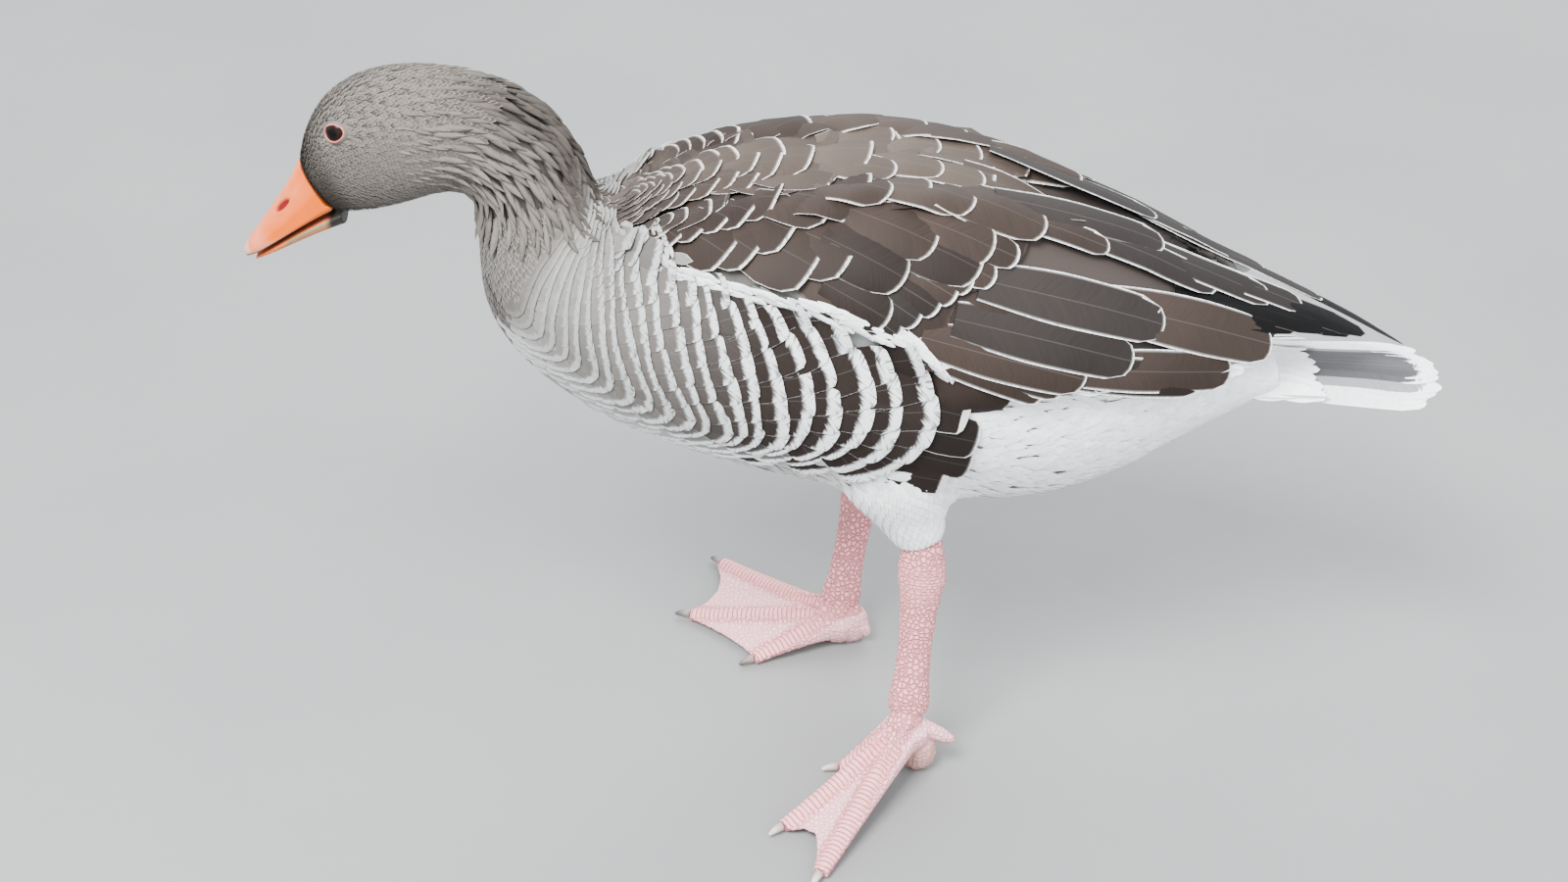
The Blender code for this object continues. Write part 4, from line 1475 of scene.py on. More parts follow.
@dataclass
class Bill:
    """The two halves of the bill, with nostrils, rim and lamellae."""

    voxel: float = 0.0006
    gape: tuple[float, float] = (-0.299, 0.350)
    droop: float = 30.0  # degrees that the mouth's line falls towards the tip
    nostril: tuple[float, float] = (-0.3318, 0.3510)
    nostril_rise: float = 44.0
    nostril_halves: tuple[float, float] = (0.0064, 0.0015)
    lamella: float = 0.0016  # from one tooth of the comb to the next
    nail: float = 0.0625  # how far along the nail starts
    nostril_depth: float = 0.0016
    relief: float = 0.00025  # of the lip round the nostril, the nail's edge and the comb
    slices: int = 61  # of the lower half, each with a height of its own
    corner: float = 0.009  # how far ahead of the gape the dark starts: the feathers' colour with painted shade
    colours: BillColours = BillColours()

    def build(self, skin: Skin, material: Material) -> None:
        """Makes both halves."""
        self.skin = skin
        self.upper(material)
        self.lower(material)

    def measured(self, co: Array) -> tuple[Array, Array, Array]:
        """How far each point is along the mouth's line, above it, and off the middle."""
        turn = math.radians(self.droop)
        dx, dz = co[:, 0] - self.gape[0], co[:, 2] - self.gape[1]
        along = -dx * math.cos(turn) - dz * math.sin(turn)
        height = -dx * math.sin(turn) + dz * math.cos(turn)
        return along, height, np.abs(co[:, 1] - self.skin.axis.midline)

    def upper(self, material: Material) -> None:
        """Makes the upper half, pressing in the nostrils.

        Args:
            material: its finish.
        """
        mesh = self.skin.remeshed(node_bmesh("bill_upper"), self.voxel, 5)
        co, out = coordinates(mesh), normals_of(mesh)
        along, height, off = self.measured(co)
        turn = math.radians(self.nostril_rise)
        dx, dz = co[:, 0] - self.nostril[0], co[:, 2] - self.nostril[1]
        p = (dx * math.cos(turn) + dz * math.sin(turn)) / self.nostril_halves[0]
        q = (dz * math.cos(turn) - dx * math.sin(turn)) / self.nostril_halves[1]
        reach = np.sqrt(p**2 + q**2)
        side_on = rise(np.abs(out[:, 1]), 0.25, 0.25)
        hole = rise(reach, 1.25, -1.0) * side_on
        lip = np.exp(-(((reach - 1.5) / 0.45) ** 2)) * side_on
        press = self.nostril_depth * np.minimum(hole * 1.6, 1.0) - self.relief * lip
        press += self.relief * np.exp(-(((along - self.nail) / 0.0008) ** 2)) * (height > 0.002)
        set_coordinates(mesh, co - out * press[:, None])
        c = self.colours
        shade = np.tile(c.orange, (len(co), 1))
        for share, colour in (
            (0.75 * rise(off, 0.0085, -0.004) * rise(along, 0.052, -0.006), c.pink),
            (0.85 * rise(along, 0.044, 0.008), c.pink),
            (0.40 * np.clip(1.6 - reach * 0.28, 0, 1) * side_on, c.pink),
            (0.8 * rise(height, 0.0030, -0.0016) * (off > 0.004), c.rim),
            (rise(along, self.nail - 0.001, 0.0025), c.cream),
            (rise(reach, 1.15, -0.4) * side_on, c.red),
            (0.7 * rise(height, 0.0006, -0.0006), c.line),
        ):
            shade = paint(shade, colour, share)
        self.finish(mesh, shade, "bill_upper", material)

    def lower(self, material: Material) -> None:
        """Makes the lower half, with the comb of lamellae along its upper edge.

        Args:
            material: its finish.
        """
        mesh = self.skin.remeshed(node_bmesh("bill_lower"), self.voxel, 4)
        co, out = coordinates(mesh), normals_of(mesh)
        along, height, off = self.measured(co)
        bins = np.clip(((along + 0.01) / 0.002).astype(int), 0, self.slices - 1)
        top, floor = np.full(self.slices, -1.0), np.full(self.slices, 1.0)
        np.maximum.at(top, bins, height)
        np.minimum.at(floor, bins, height)
        share = (height - floor[bins]) / np.maximum(top[bins] - floor[bins], 1e-4)
        comb = rise(share, 0.46, 0.1) * rise(share, 0.88, -0.06) * rise(along, 0.044, -0.006)
        tooth = np.abs(((along / self.lamella) % 1.0) - 0.5) * 2
        set_coordinates(mesh, co - out * (self.relief * comb * tooth)[:, None])
        c = self.colours
        shade = np.tile(mix(c.orange, c.pink, 0.5), (len(co), 1))
        below = 0.6 * np.clip(share * 4, 0, 1) * (share < 0.42)
        shade = paint(shade, mix(c.orange, c.line, 0.35), below)
        # the comb's pressed-in grooves are darker: painted shade between the lamellae
        shade = paint(shade, c.buff, comb) * (1.0 - 0.35 * comb * (tooth > 0.6))[:, None]
        shade = paint(shade, c.line, 0.85 * rise(share, 0.86, 0.08) * (off > 0.003))
        # the lower half's rear, by the gape, is dark: the feathers' colour and painted shade
        shade = paint(shade, DOWN_AND_SHADE, rise(co[:, 0], self.gape[0] - self.corner, 0.004))
        self.finish(mesh, shade, "bill_lower", material)

    def finish(self, mesh: Mesh, shade: Array, node: str, material: Material) -> None:
        """Links one half.

        Args:
            mesh: the half.
            shade: its vertices' colours.
            node: the node that it stands for.
            material: its finish.
        """
        shade_points(mesh, shade)
        mesh.shade_smooth()
        piece = link(f"{node}_horn", mesh, material)
        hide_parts(node)
        log.info("%s: %d faces", piece.name, len(mesh.polygons))


class Claws:
    """The six claws: pale on the left foot and darker on the right."""

    TOES = ("inner", "middle", "outer")
    ROOT, PALE, GREY_TIP = (0.30, 0.22, 0.19), (0.50, 0.44, 0.38), (0.07, 0.06, 0.055)

    def build(self, material: Material) -> None:
        """Makes the claws of both feet as one piece.

        Args:
            material: their finish.
        """
        nodes, claws = [], []
        for limb in LIMBS:
            for toe, end in zip(self.TOES, limb.ends):
                node = f"claw_{limb.side.name.lower()}_{toe}"
                nodes.append(node)
                values = {"levels": 2, "render_levels": 2}
                mesh = with_modifiers(from_bmesh(node, node_bmesh(node)), ("SUBSURF", values))
                away = np.linalg.norm(coordinates(mesh)[:, :2] - np.array(end)[:2], axis=1)
                tip = self.PALE if limb.side is Side.LEFT else self.GREY_TIP
                root = np.tile(self.ROOT, (len(away), 1))
                shade_points(mesh, paint(root, tip, rise(away, 0.001, 0.008)))
                claws.append(mesh)
        whole = merged("claws", claws)
        piece = link("claws", whole, material)
        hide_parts(*nodes)
        log.info("claws: %d faces", len(whole.polygons))


# ---- tracts of the coat ----


class Tract:
    """What the tracts of the coat share."""

    ROLL = -3.0  # degrees that a tuft's upper edge is pressed in

    def __init__(self, axis: BodyAxis, body: Surface, wings: Surface, material: Material) -> None:
        """Args: the body's coordinates, the two surfaces, and the vanes' finish."""
        self.axis = axis
        self.body = body
        self.wings = wings
        self.material = material
        self.random = np.random.default_rng(7)

    def swing(self, amount: float) -> float:
        """A random number this far about 0."""
        return amount * float(self.random.uniform(-1.0, 1.0))

    def vary(self, amount: float) -> float:
        """A random factor this far about 1."""
        return 1.0 + self.swing(amount)

    def tint(self, colour: Colour, amount: float) -> Colour:
        """A colour made a little lighter or darker at random."""
        factor = self.vary(amount)
        return tuple(c * factor for c in colour)

    def walk(
        self, start: float, end: float, degrees: float, gaps: tuple, lead: float = 0.0
    ) -> list[float]:
        """Stations set apart along the surface at one angle.

        Args:
            start: the first station.
            end: the last station.
            degrees: the angle.
            gaps: pairs of a station and the distance kept there.
            lead: where the first one falls, as a share of the distance.

        Returns:
            The stations.
        """
        found, last = [], None
        left = lead * gaps[0][1]
        for s in np.arange(start, end, 0.02):
            spot = self.body.spot(float(s), degrees, 1.0)
            if spot is None:
                continue
            left -= (spot.point - last).length if last is not None else 0.0
            last = spot.point
            if left <= 0.0:
                found.append(float(s))
                left += between(gaps, s)
        return found


class HeadCoat(Tract):
    """The tiny vanes of the face, crown and throat."""

    SPACING, LENGTH, WIDTH = 0.0021, 0.0060, 0.0028
    COLUMNS = 38
    EYE_CLEAR = 0.0091  # no tuft stands nearer to the eye's middle

    def build(self) -> None:
        """Grows both sides of the head."""
        vane = Vane(3, 2, tip=0.6, square=1.5, camber=0.1)
        coat = Coat("coat_head", self.body, vane, self.material, steps=2)
        eyes = [eyeball(name)[0] for _, name in Skin.EYES]
        for k in range(self.COLUMNS):
            degrees = 180.0 * (k + 0.5) / self.COLUMNS
            gaps = ((0, self.SPACING), (3, self.SPACING), (6, self.SPACING * 1.5))
            for s in self.walk(-0.2, 6.4, degrees, gaps, (k % 2) / 2):
                for side in Side:
                    turned = degrees + self.swing(1.6)
                    slope = 18.0 * plateau(1.0, 2.5, 4.0, 5.5, s) * math.sin(math.radians(degrees))
                    spot = self.body.spot(s, turned, side.value, slope)
                    if spot is None:
                        continue
                    ends = (spot.point, spot.point + spot.lie * self.LENGTH * 0.8)
                    if min((p - e).length for p in ends for e in eyes) > self.EYE_CLEAR:
                        self.tuft(coat, spot, s, degrees)
        coat.build()

    def tuft(self, coat: Coat, spot: Spot, s: float, degrees: float) -> None:
        """Adds one vane, darker in small patches on the crown.

        Args:
            coat: the piece.
            spot: its root.
            s: its station.
            degrees: its column's angle.
        """
        patch = math.sin(s * 13.0 + degrees * 0.31) * math.sin(s * 7.0 - degrees * 0.45)
        crown = ramp(85, 50, degrees)
        shade = self.tint(body_colour(s, degrees), 0.13)
        shade = mix(shade, NAPE, (0.25 + 0.6 * crown) * ramp(0.0, 0.6, patch))
        look = Look(shade, mix(shade, CREAM, 0.22 + 0.16 * crown), 0.0006, 0.2, 0.4)
        size = 0.72 + 0.5 * ramp(1.0, 5.0, s)
        coat.grow(spot, self.LENGTH * size, self.WIDTH * size, look, Stance(0.0012, 0.0005))


class NeckCoat(Tract):
    """The furrowed neck: ridges of narrow, pointed vanes, their edges darkened as painted shade.
    """

    RIDGES = 14  # on each side
    LENGTH, WIDTH = 0.0210, 0.0050
    GAPS = ((3, 0.0048), (7, 0.0068), (12, 0.0068))

    def build(self) -> None:
        """Grows both sides of the neck."""
        vane = Vane(6, 4, root=0.5, tip=1.7, square=1.25, camber=0.42)
        coat = Coat("coat_neck", self.body, vane, self.material, steps=5)
        for k in range(self.RIDGES):
            degrees = 180.0 * (k + 0.5) / self.RIDGES
            start = 4.3 - 0.7 * plateau(20, 60, 110, 150, degrees)
            end = 10.9 - 1.2 * ramp(40, 130, degrees)
            for side in Side:
                last = end + self.swing(0.35)
                lead = float(self.random.uniform(0, 1))
                for s in self.walk(start, last, degrees, self.GAPS, lead):
                    self.ridge_tuft(coat, s, degrees, side, start)
        coat.build()

    def ridge_tuft(self, coat: Coat, s: float, degrees: float, side: Side, start: float) -> None:
        """Adds one vane of a ridge.

        Args:
            coat: the piece.
            s: its station.
            degrees: its ridge's angle.
            side: its side.
            start: where the neck's furrows start, as a station.
        """
        grown = ramp(start, start + 1.6, s)
        wander = 2.6 * math.sin(1.9 * s + 2.3 * degrees * side.value) + 1.0 * self.vary(1.0)
        slope = 9.0 * math.sin(3.1 * s + degrees) + 6.0
        spot = self.body.spot(s, degrees + wander, side.value, slope)
        back = ramp(80, 15, degrees) * ramp(4.0, 6.5, s)
        shade = self.tint(mix(mix(GREY, CREAM, 0.10), NAPE, 0.12 + 0.75 * back), 0.15)
        # the edges are darkened: painted shade of the furrows between the ridges
        edge = mix(shade, DOWN_AND_SHADE, 0.35 + 0.45 * grown)
        look = Look(shade, edge, 0.0007, 0.1, 0.9, 0.3)
        size = (0.55 + 0.45 * grown) * self.vary(0.18)
        lift = (0.0004 + 0.0014 * grown) * self.vary(0.5)
        stance = Stance(0.0026, lift, 5.0 * side.value * self.vary(1.0))
        coat.grow(spot, self.LENGTH * size, self.WIDTH * size * self.vary(0.15), look, stance)


class BreastCoat(Tract):
    """The smooth foreneck, and the soft belly and vent."""

    COLUMNS = 44
    LENGTH, WIDTH = 0.0150, 0.0070
    GAPS = ((10, 0.0032), (13, 0.0042), (17, 0.0055), (24, 0.0055))

    def build(self) -> None:
        """Grows the foreneck, belly and vent of both sides."""
        vane = Vane(4, 2, root=0.7, tip=0.7, square=1.5, camber=0.02)
        front = Coat("coat_breast", self.body, vane, self.material)
        rear = Coat("coat_vent", self.body, vane, self.material, "pale_plumage")
        for k in range(self.COLUMNS):
            degrees = 180.0 * (k + 0.5) / self.COLUMNS
            for s in self.walk(9.7, 24.2, degrees, self.GAPS, (k % 2) / 2):
                for side in Side:
                    self.tuft(front if s < 16.5 else rear, s, degrees, side)
        front.build()
        rear.build()

    def tuft(self, coat: Coat, s: float, degrees: float, side: Side) -> None:
        """Adds one vane, unless another tract has the place.

        Args:
            coat: the piece.
            s: its station.
            degrees: its column's angle.
            side: its side.
        """
        level = s - flank_lean(s) * (degrees - 90.0)
        barred = 12.9 < level < 18.95 and flank_top(s) < degrees < 120
        if barred or degrees < 50 and 11.6 < s < 19.2 or degrees < wing_edge(s) - 1:
            return
        slope = -24.0 * plateau(11, 13, 15, 17, s) * ramp(150, 100, degrees)
        spot = self.body.spot(s, degrees + self.swing(1.8), side.value, slope)
        shade = self.tint(body_colour(s, degrees), 0.05)
        edge = mix(shade, WHITE, 0.15)
        size = (0.45 + 0.55 * ramp(10, 15, s)) * self.vary(0.1)
        look = Look(shade, edge, 0.0008, 0.12 * ramp(19, 16, s), 0.3)
        coat.grow(spot, self.LENGTH * size, self.WIDTH * size, look, Stance(0.0014, 0.0002))


class FlankCoat(Tract):
    """The flank's rows, whose dark bands and pale ends join into curved bars."""

    GAPS = (
        (12.6, 0.0064), (14.0, 0.0080), (15.3, 0.0105),
        (16.5, 0.0145), (17.6, 0.0180), (19.2, 0.0190),
    )
    FIRST, LAST = 12.25, 18.98
    RADIUS = 0.078  # of the body there, from which a width's angle comes
    LAST_ROW = (  # station and degrees of each end, and width
        (18.99, 82, 0.024), (19.10, 90, 0.028), (19.27, 99, 0.030),
        (19.27, 110, 0.030), (19.10, 120, 0.026),
    )
    CREST_FROM, CREST_TO, CREST_STEP = 13.9, 19.1, 0.06

    def build(self) -> None:
        """Grows the rows, then the pale feathers along their top and the last dark ones."""
        small = Vane(3, 6, root=0.8, tip=0.10, square=2.4, camber=0.012)
        large = Vane(4, 8, root=0.8, tip=0.12, square=2.4, camber=0.015)
        front = Coat("coat_flank_front", self.body, small, self.material, fitted=True)
        pale = (self.material, "pale_plumage", 4)
        rear = Coat("coat_flank", self.body, large, *pale, fitted=True)
        soft = Vane(4, 4, root=0.6, tip=1.0, square=1.6, camber=0.16)
        crest = Coat("coat_crest", self.body, soft, *pale)
        levels = self.walk(self.FIRST, self.LAST, 90.0, self.GAPS)
        for row, level in enumerate(levels):
            gap = between(self.GAPS, level)
            coat = front if level < 15.6 else rear
            before = level - levels[row - 1] if row else levels[1] - level
            for side in Side:
                self.grow_row(coat, level, gap, before, side, row)
        for side in Side:
            self.last_row(rear, side)
            self.crest(crest, side)
        front.build()
        rear.build()
        crest.build()

    def grow_row(
        self, coat: Coat, level: float, gap: float, before: float, side: Side, row: int
    ) -> None:
        """Adds one row's vanes.

        Args:
            coat: the piece.
            level: the row's station on the flank.
            gap: how far it is from the row before it there.
            before: that distance in stations.
            side: its side.
            row: its number.
        """
        width = gap * (1.75 - 0.35 * ramp(14, 18, level))
        step = math.degrees(width * 0.48 / self.RADIUS)
        top = next((a for a in range(14, 100) if a >= flank_top(flank_line(level, a))), 90)
        low = 146.0 - 14.0 * ramp(16.5, 18.5, level)
        for degrees in np.arange(top + (row % 3) * step / 3, low, step):
            angle = float(degrees) + self.swing(1.0)
            wave = math.sin(0.10 * angle + 9.0 * level) + self.swing(0.30)
            end = flank_line(level, angle) + 0.030 * wave
            under = ramp(146, 118, angle) if level < 18.0 else ramp(150, 130, angle)
            tone = 0.45 * level + 0.55 * end
            force = 0.10 + 0.50 * ramp(12.8, 15.2, tone) + 0.40 * ramp(15.0, 17.0, tone)
            whiter = ramp(15.5, 18.0, tone) * 0.4 + 0.3 * ramp(112, 145, angle)
            ground = mix(BREAST, WHITE, whiter)
            ground = mix(body_colour(end, angle), ground, ramp(12.4, 13.8, level))
            shade = mix(ground, mix(STRIPE, DARK, ramp(15.0, 17.5, level)), force * under)
            pale = mix(ground, WHITE, 0.03 + 0.57 * ramp(13.0, 17.5, tone))
            shift = end - flank_line(level, angle)
            spot, above, below = (
                self.body.spot(flank_line(level, q) + shift, q, side.value)
                for q in (angle, angle - 4.0, angle + 4.0)
            )
            if not (spot and above and below):
                continue
            lie = flat((below.point - above.point).cross(spot.normal), spot.normal)
            spot.lie = lie if lie.x > 0.0 else -lie
            last = self.body.spot(flank_line(level - before, angle), angle, side.value) or above
            spacing = max(abs((spot.point - last.point).dot(spot.lie)), 0.35 * gap)
            share = 0.40 * self.vary(0.15)
            slits = 0.9 * ramp(13, 15, level)
            look = Look(self.tint(shade, 0.05), pale, spacing * share, 0.1, 0.0, slits)
            over = 0.0016 * ramp(flank_top(level) + 22, flank_top(level) + 4, angle)
            sink, lift = 0.0014 + 0.06 * gap - over, 0.0004 + 0.05 * gap + over
            stance = Stance(sink, lift, self.ROLL * side.value)
            length = -spacing * (2.5 - 0.3 * ramp(14, 18, level))
            coat.grow(spot, length, width * self.vary(0.08), look, stance)

    def last_row(self, coat: Coat, side: Side) -> None:
        """Adds the broad dark feathers that end the flank over the white vent.

        Args:
            coat: the piece.
            side: its side.
        """
        look = Look(mix(DARK, BLACK, 0.3), mix(CREAM, WHITE, 0.4), 0.0010, 0.1, 0.3)
        for end, angle, width in self.LAST_ROW:
            spot = self.body.spot(end, angle, side.value, 4.0)
            coat.grow(spot, -0.040, width, look, Stance(0.003, 0.0026, self.ROLL * side.value))

    def crest(self, coat: Coat, side: Side) -> None:
        """Adds the soft white feathers along the flank's top, which lie over the wing.

        Args:
            coat: the piece.
            side: its side.
        """
        for s in np.arange(self.CREST_FROM, self.CREST_TO, self.CREST_STEP):
            s, shift = float(s), self.swing(2.0)
            here, there = (
                self.body.spot(q, flank_top(q) + shift, side.value) for q in (s, s + 0.3)
            )
            here.lie = flat(there.point - here.point, here.normal)
            pale = mix(BREAST, WHITE, 0.15 + 0.75 * ramp(14.0, 16, s))
            look = Look(self.tint(mix(pale, STRIPE, 0.15), 0.12), pale, 0.0012, 0.0, 0.8, 0.3)
            size = 0.5 + 0.5 * ramp(14, 16, s)
            stance = Stance(-0.0004, 0.0022 * self.vary(0.3), -4.0 * side.value)
            length, width = -0.017 * size * self.vary(0.25), 0.0042 * size * self.vary(0.2)
            coat.grow(here, length, width, look, stance)


class MantleCoat(Tract):
    """The mantle and upper back, in rows that broaden towards the rear."""

    GAPS = (
        (11.2, 0.0042), (13.0, 0.0062), (14.0, 0.0080),
        (15.0, 0.0112), (16.0, 0.0150), (17.0, 0.0190),
    )
    RADII = ((11.3, 0.042), (13, 0.055), (15, 0.075), (17, 0.085))  # of the back

    def build(self) -> None:
        """Grows both sides."""
        shared = {"surface": self.body, "material": self.material}
        shared |= {"fitted": True, "dark_under": True}
        small = Coat("coat_mantle_front", vane=self.vane(1.7), **shared)
        shared |= {"slot": "wing_plumage", "steps": 4}
        large = Coat("coat_mantle", vane=self.vane(2.6), **shared)
        for row, s in enumerate(self.walk(11.3, 19.6, 30.0, self.GAPS)):
            gap = between(self.GAPS, s)
            width = gap * (1.5 + 1.1 * ramp(12.5, 15.5, s))
            radius = between(self.RADII, s)
            step = math.degrees(width * 0.64 / radius)
            reach = flank_top(s) + 4.0 + 5.0 * ramp(14.5, 13.0, s)
            reach -= 0.42 * math.degrees(width / radius)
            for degrees in np.arange((row % 2) * step / 2, reach, step):
                for side in Side:
                    if degrees > 0.5 or side is Side.LEFT:
                        coat = small if s < 14.4 else large
                        self.tuft(coat, s, float(degrees), side, gap, width)
        small.build()
        large.build()

    def vane(self, square: float) -> Vane:
        """The outline of a back feather."""
        return Vane(4, 8, root=0.7, tip=0.18, square=square, camber=0.020)

    def tuft(
        self, coat: Coat, s: float, degrees: float, side: Side, gap: float, width: float
    ) -> None:
        """Adds one vane.

        Args:
            coat: the piece.
            s: its station.
            degrees: its angle.
            side: its side.
            gap: the distance between rows there.
            width: its width.
        """
        s += self.swing(0.05)
        degrees += self.swing(0.15) * math.degrees(width / 0.08)
        spot = self.body.spot(s, degrees, side.value, 6.0 + 0.08 * degrees)
        shade = self.tint(mix(STRIPE, BROWN, ramp(12.5, 15, s)), 0.12)
        # painted highlight: paler towards the top of the back, where the light falls
        shade = mix(shade, PAINTED_SHEEN, 0.14 * ramp(24, 3, degrees) * ramp(13, 15, s))
        pale = mix(CREAM, STRIPE, 0.55 * ramp(14.5, 11.8, s))
        pale = mix(pale, WHITE, 0.35 * ramp(13.5, 15.5, s))
        fringe = 0.0009 + 0.0006 * ramp(13, 15, s)
        under = ramp(17.5, 17.8, s) * ramp(3, 10, degrees)  # beneath the scapulars
        look = Look(shade, mix(pale, shade, under), fringe, 0.3, 0.2, 0.8)
        sink, lift = 0.0016 + 0.08 * gap + 0.001 * under, 0.0005 + 0.05 * gap - 0.0026 * under
        coat.grow(spot, -gap * 2.6, width, look, Stance(sink, lift, self.ROLL * side.value))


@dataclass(frozen=True)
class Quill:
    """One large feather of the wing, by where its end lies.

    Attributes:
        station: its end's station.
        degrees: its end's angle round from the back.
        length: its length.
        width: its width.
        slope: how far it runs downwards, in degrees.
        shade: its colour.
        lift: how far up it lies among the others, from 0 to 30.
    """

    station: float
    degrees: float
    length: float
    width: float
    slope: float
    shade: Colour
    lift: float


def quills(*rows: tuple) -> list[Quill]:
    """The feathers of a table."""
    return [Quill(*row) for row in rows]


SCAPULARS = quills(
    (17.55, 24, 0.046, 0.034, 10, BROWN, 27),
    (17.63, 12, 0.044, 0.030, 7, BROWN, 28),
    (17.88, 62, 0.042, 0.030, 14, DARK, 20),
    (17.95, 50, 0.052, 0.038, 15, DARK, 24),
    (18.25, 39, 0.056, 0.038, 14, BROWN, 26),
    (18.11, 20, 0.050, 0.032, 9, BROWN, 27),
    (18.30, 8, 0.050, 0.028, 5, BROWN, 28),
    (18.88, 44, 0.060, 0.040, 16, DARK, 24),
    (19.02, 37, 0.062, 0.040, 14, BROWN, 25),
    (18.72, 23, 0.058, 0.038, 10, BROWN, 27),
    (18.90, 9, 0.056, 0.030, 6, BROWN, 28),
    (19.73, 25, 0.090, 0.038, 12, BROWN, 26),
    (19.60, 10, 0.070, 0.030, 6, BROWN, 27),
    (20.40, 14, 0.080, 0.028, 6, BROWN, 26),
)

COVERTS = quills(
    (18.05, 66, 0.034, 0.020, 20, DARK, 16),
    (18.24, 61, 0.036, 0.022, 20, SLATE, 17),
    (18.44, 57, 0.036, 0.022, 20, DARK, 18),
    (18.62, 53, 0.036, 0.022, 20, BROWN, 19),
    (18.80, 49, 0.036, 0.022, 19, BROWN, 20),
    (19.08, 46, 0.038, 0.022, 18, BROWN, 21),
    (19.36, 38, 0.044, 0.024, 14, BROWN, 22),
)

FLIGHT = quills(
    (24.30, 16, 0.150, 0.022, 2, SLATE, 8),
    (23.65, 20, 0.140, 0.026, 3, SLATE, 10),
    (22.30, 26, 0.130, 0.026, 6, SLATE, 14),
    (21.50, 12, 0.110, 0.026, 4, SLATE, 15),
    (20.66, 25, 0.080, 0.020, 8, BROWN, 17),
    (22.51, 68, 0.110, 0.026, 8, BROWN, 4),
    (22.00, 72, 0.100, 0.024, 8, DARK, 2),
    (23.55, 53, 0.125, 0.034, 7, BROWN, 7),
    (21.41, 50, 0.115, 0.032, 11, SLATE, 14),
    (20.99, 64, 0.110, 0.030, 13, SLATE, 10),
    (20.37, 71, 0.100, 0.028, 15, BROWN, 7),
    (20.10, 75, 0.090, 0.020, 16, BROWN, 5),
    (19.85, 78, 0.080, 0.016, 17, BROWN, 3),
    (19.62, 80, 0.070, 0.014, 18, BROWN, 1),
)

PRIMARIES = quills(
    (23.70, 46, 0.080, 0.019, 3, BLACK, 2),
    (24.15, 40, 0.085, 0.019, 3, BLACK, 3),
    (24.60, 34, 0.092, 0.019, 2, BLACK, 4),
    (24.95, 28, 0.100, 0.019, 2, BLACK, 5),
    (25.15, 20, 0.110, 0.019, 1, BLACK, 6),
)


class WingCoat(Tract):
    """The wing's scapulars, coverts, tertials, secondaries and primaries."""

    PATCH = 0.05  # of the bake map, across one feather
    LIFT = 0.85e-4  # from one level of feathers to the next

    def build(self) -> None:
        """Grows both wings, kind by kind."""
        round_end = Vane(7, 8, root=0.65, tip=0.42, square=2.2, camber=0.055)
        long_end = Vane(9, 6, root=0.7, tip=0.50, square=2.1, camber=0.06)
        pointed = Vane(10, 4, root=0.8, tip=1.1, square=1.7, camber=0.08)
        soft, crisp, dark = mix(CREAM, WHITE, 0.3), mix(CREAM, WHITE, 0.7), mix(DARK, CREAM, 0.2)
        kinds = (
            ("coat_scapulars", self.body, round_end, 1.0, SCAPULARS, (0.0012, 0.8), soft),
            ("coat_coverts", self.body, round_end, 0.95, COVERTS, (0.0012, 0.7), crisp),
            ("coat_tertials", self.wings, long_end, 0.92, FLIGHT, (0.0007, 1.0), crisp),
            ("coat_primaries", self.wings, pointed, 0.9, PRIMARIES, (0.0003, 0.6), dark),
        )
        for name, surface, vane, cling, table, fringe, pale in kinds:
            fit = [surface is self.body] * 2  # fitted and with painted shadow beneath, or neither
            made = (self.material, "wing_plumage", 8, cling, self.PATCH)
            coat = Coat(name, surface, vane, *made, *fit)
            for index, quill in enumerate(table):
                for side in Side:
                    self.feather(coat, quill, side, index, fringe, pale)
            coat.build()

    def feather(
        self, coat: Coat, quill: Quill, side: Side, index: int, fringe: tuple[float, float],
        pale: Colour,
    ) -> None:
        """Grows one feather, with a bake patch of its own.

        Args:
            coat: the piece.
            quill: the feather.
            side: its wing.
            index: its number in its kind.
            fringe: the fringe's width, and how much of it runs up the sides.
            pale: the fringe's colour.
        """
        further = 0.5 * ramp(23.0, 25.0, quill.station) if side is Side.RIGHT else 0.0
        spot = coat.surface.spot(quill.station + further, quill.degrees, side.value, quill.slope)
        if spot is None:
            return
        # painted highlight on the feathers near the top of the back, where the light falls
        painted_sheen = 0.14 * ramp(30, 5, quill.degrees) * ramp(21.5, 18.5, quill.station)
        shade = mix(self.tint(quill.shade, 0.06), PAINTED_SHEEN, painted_sheen)
        look = Look(shade, pale, fringe[0], 0.25, fringe[1], 0.5)
        path = coat.surface.path(spot, -quill.length, coat.steps, coat.cling)
        stance = Stance(0.0012, quill.lift * self.LIFT, -2.0 * side.value)
        column = index % 8 + (8 if side is Side.RIGHT else 0)
        here = ((column + 0.5) / 16, (index // 8 + 0.5) / 16)
        coat.lay(path, quill.length, quill.width, look, stance, here)


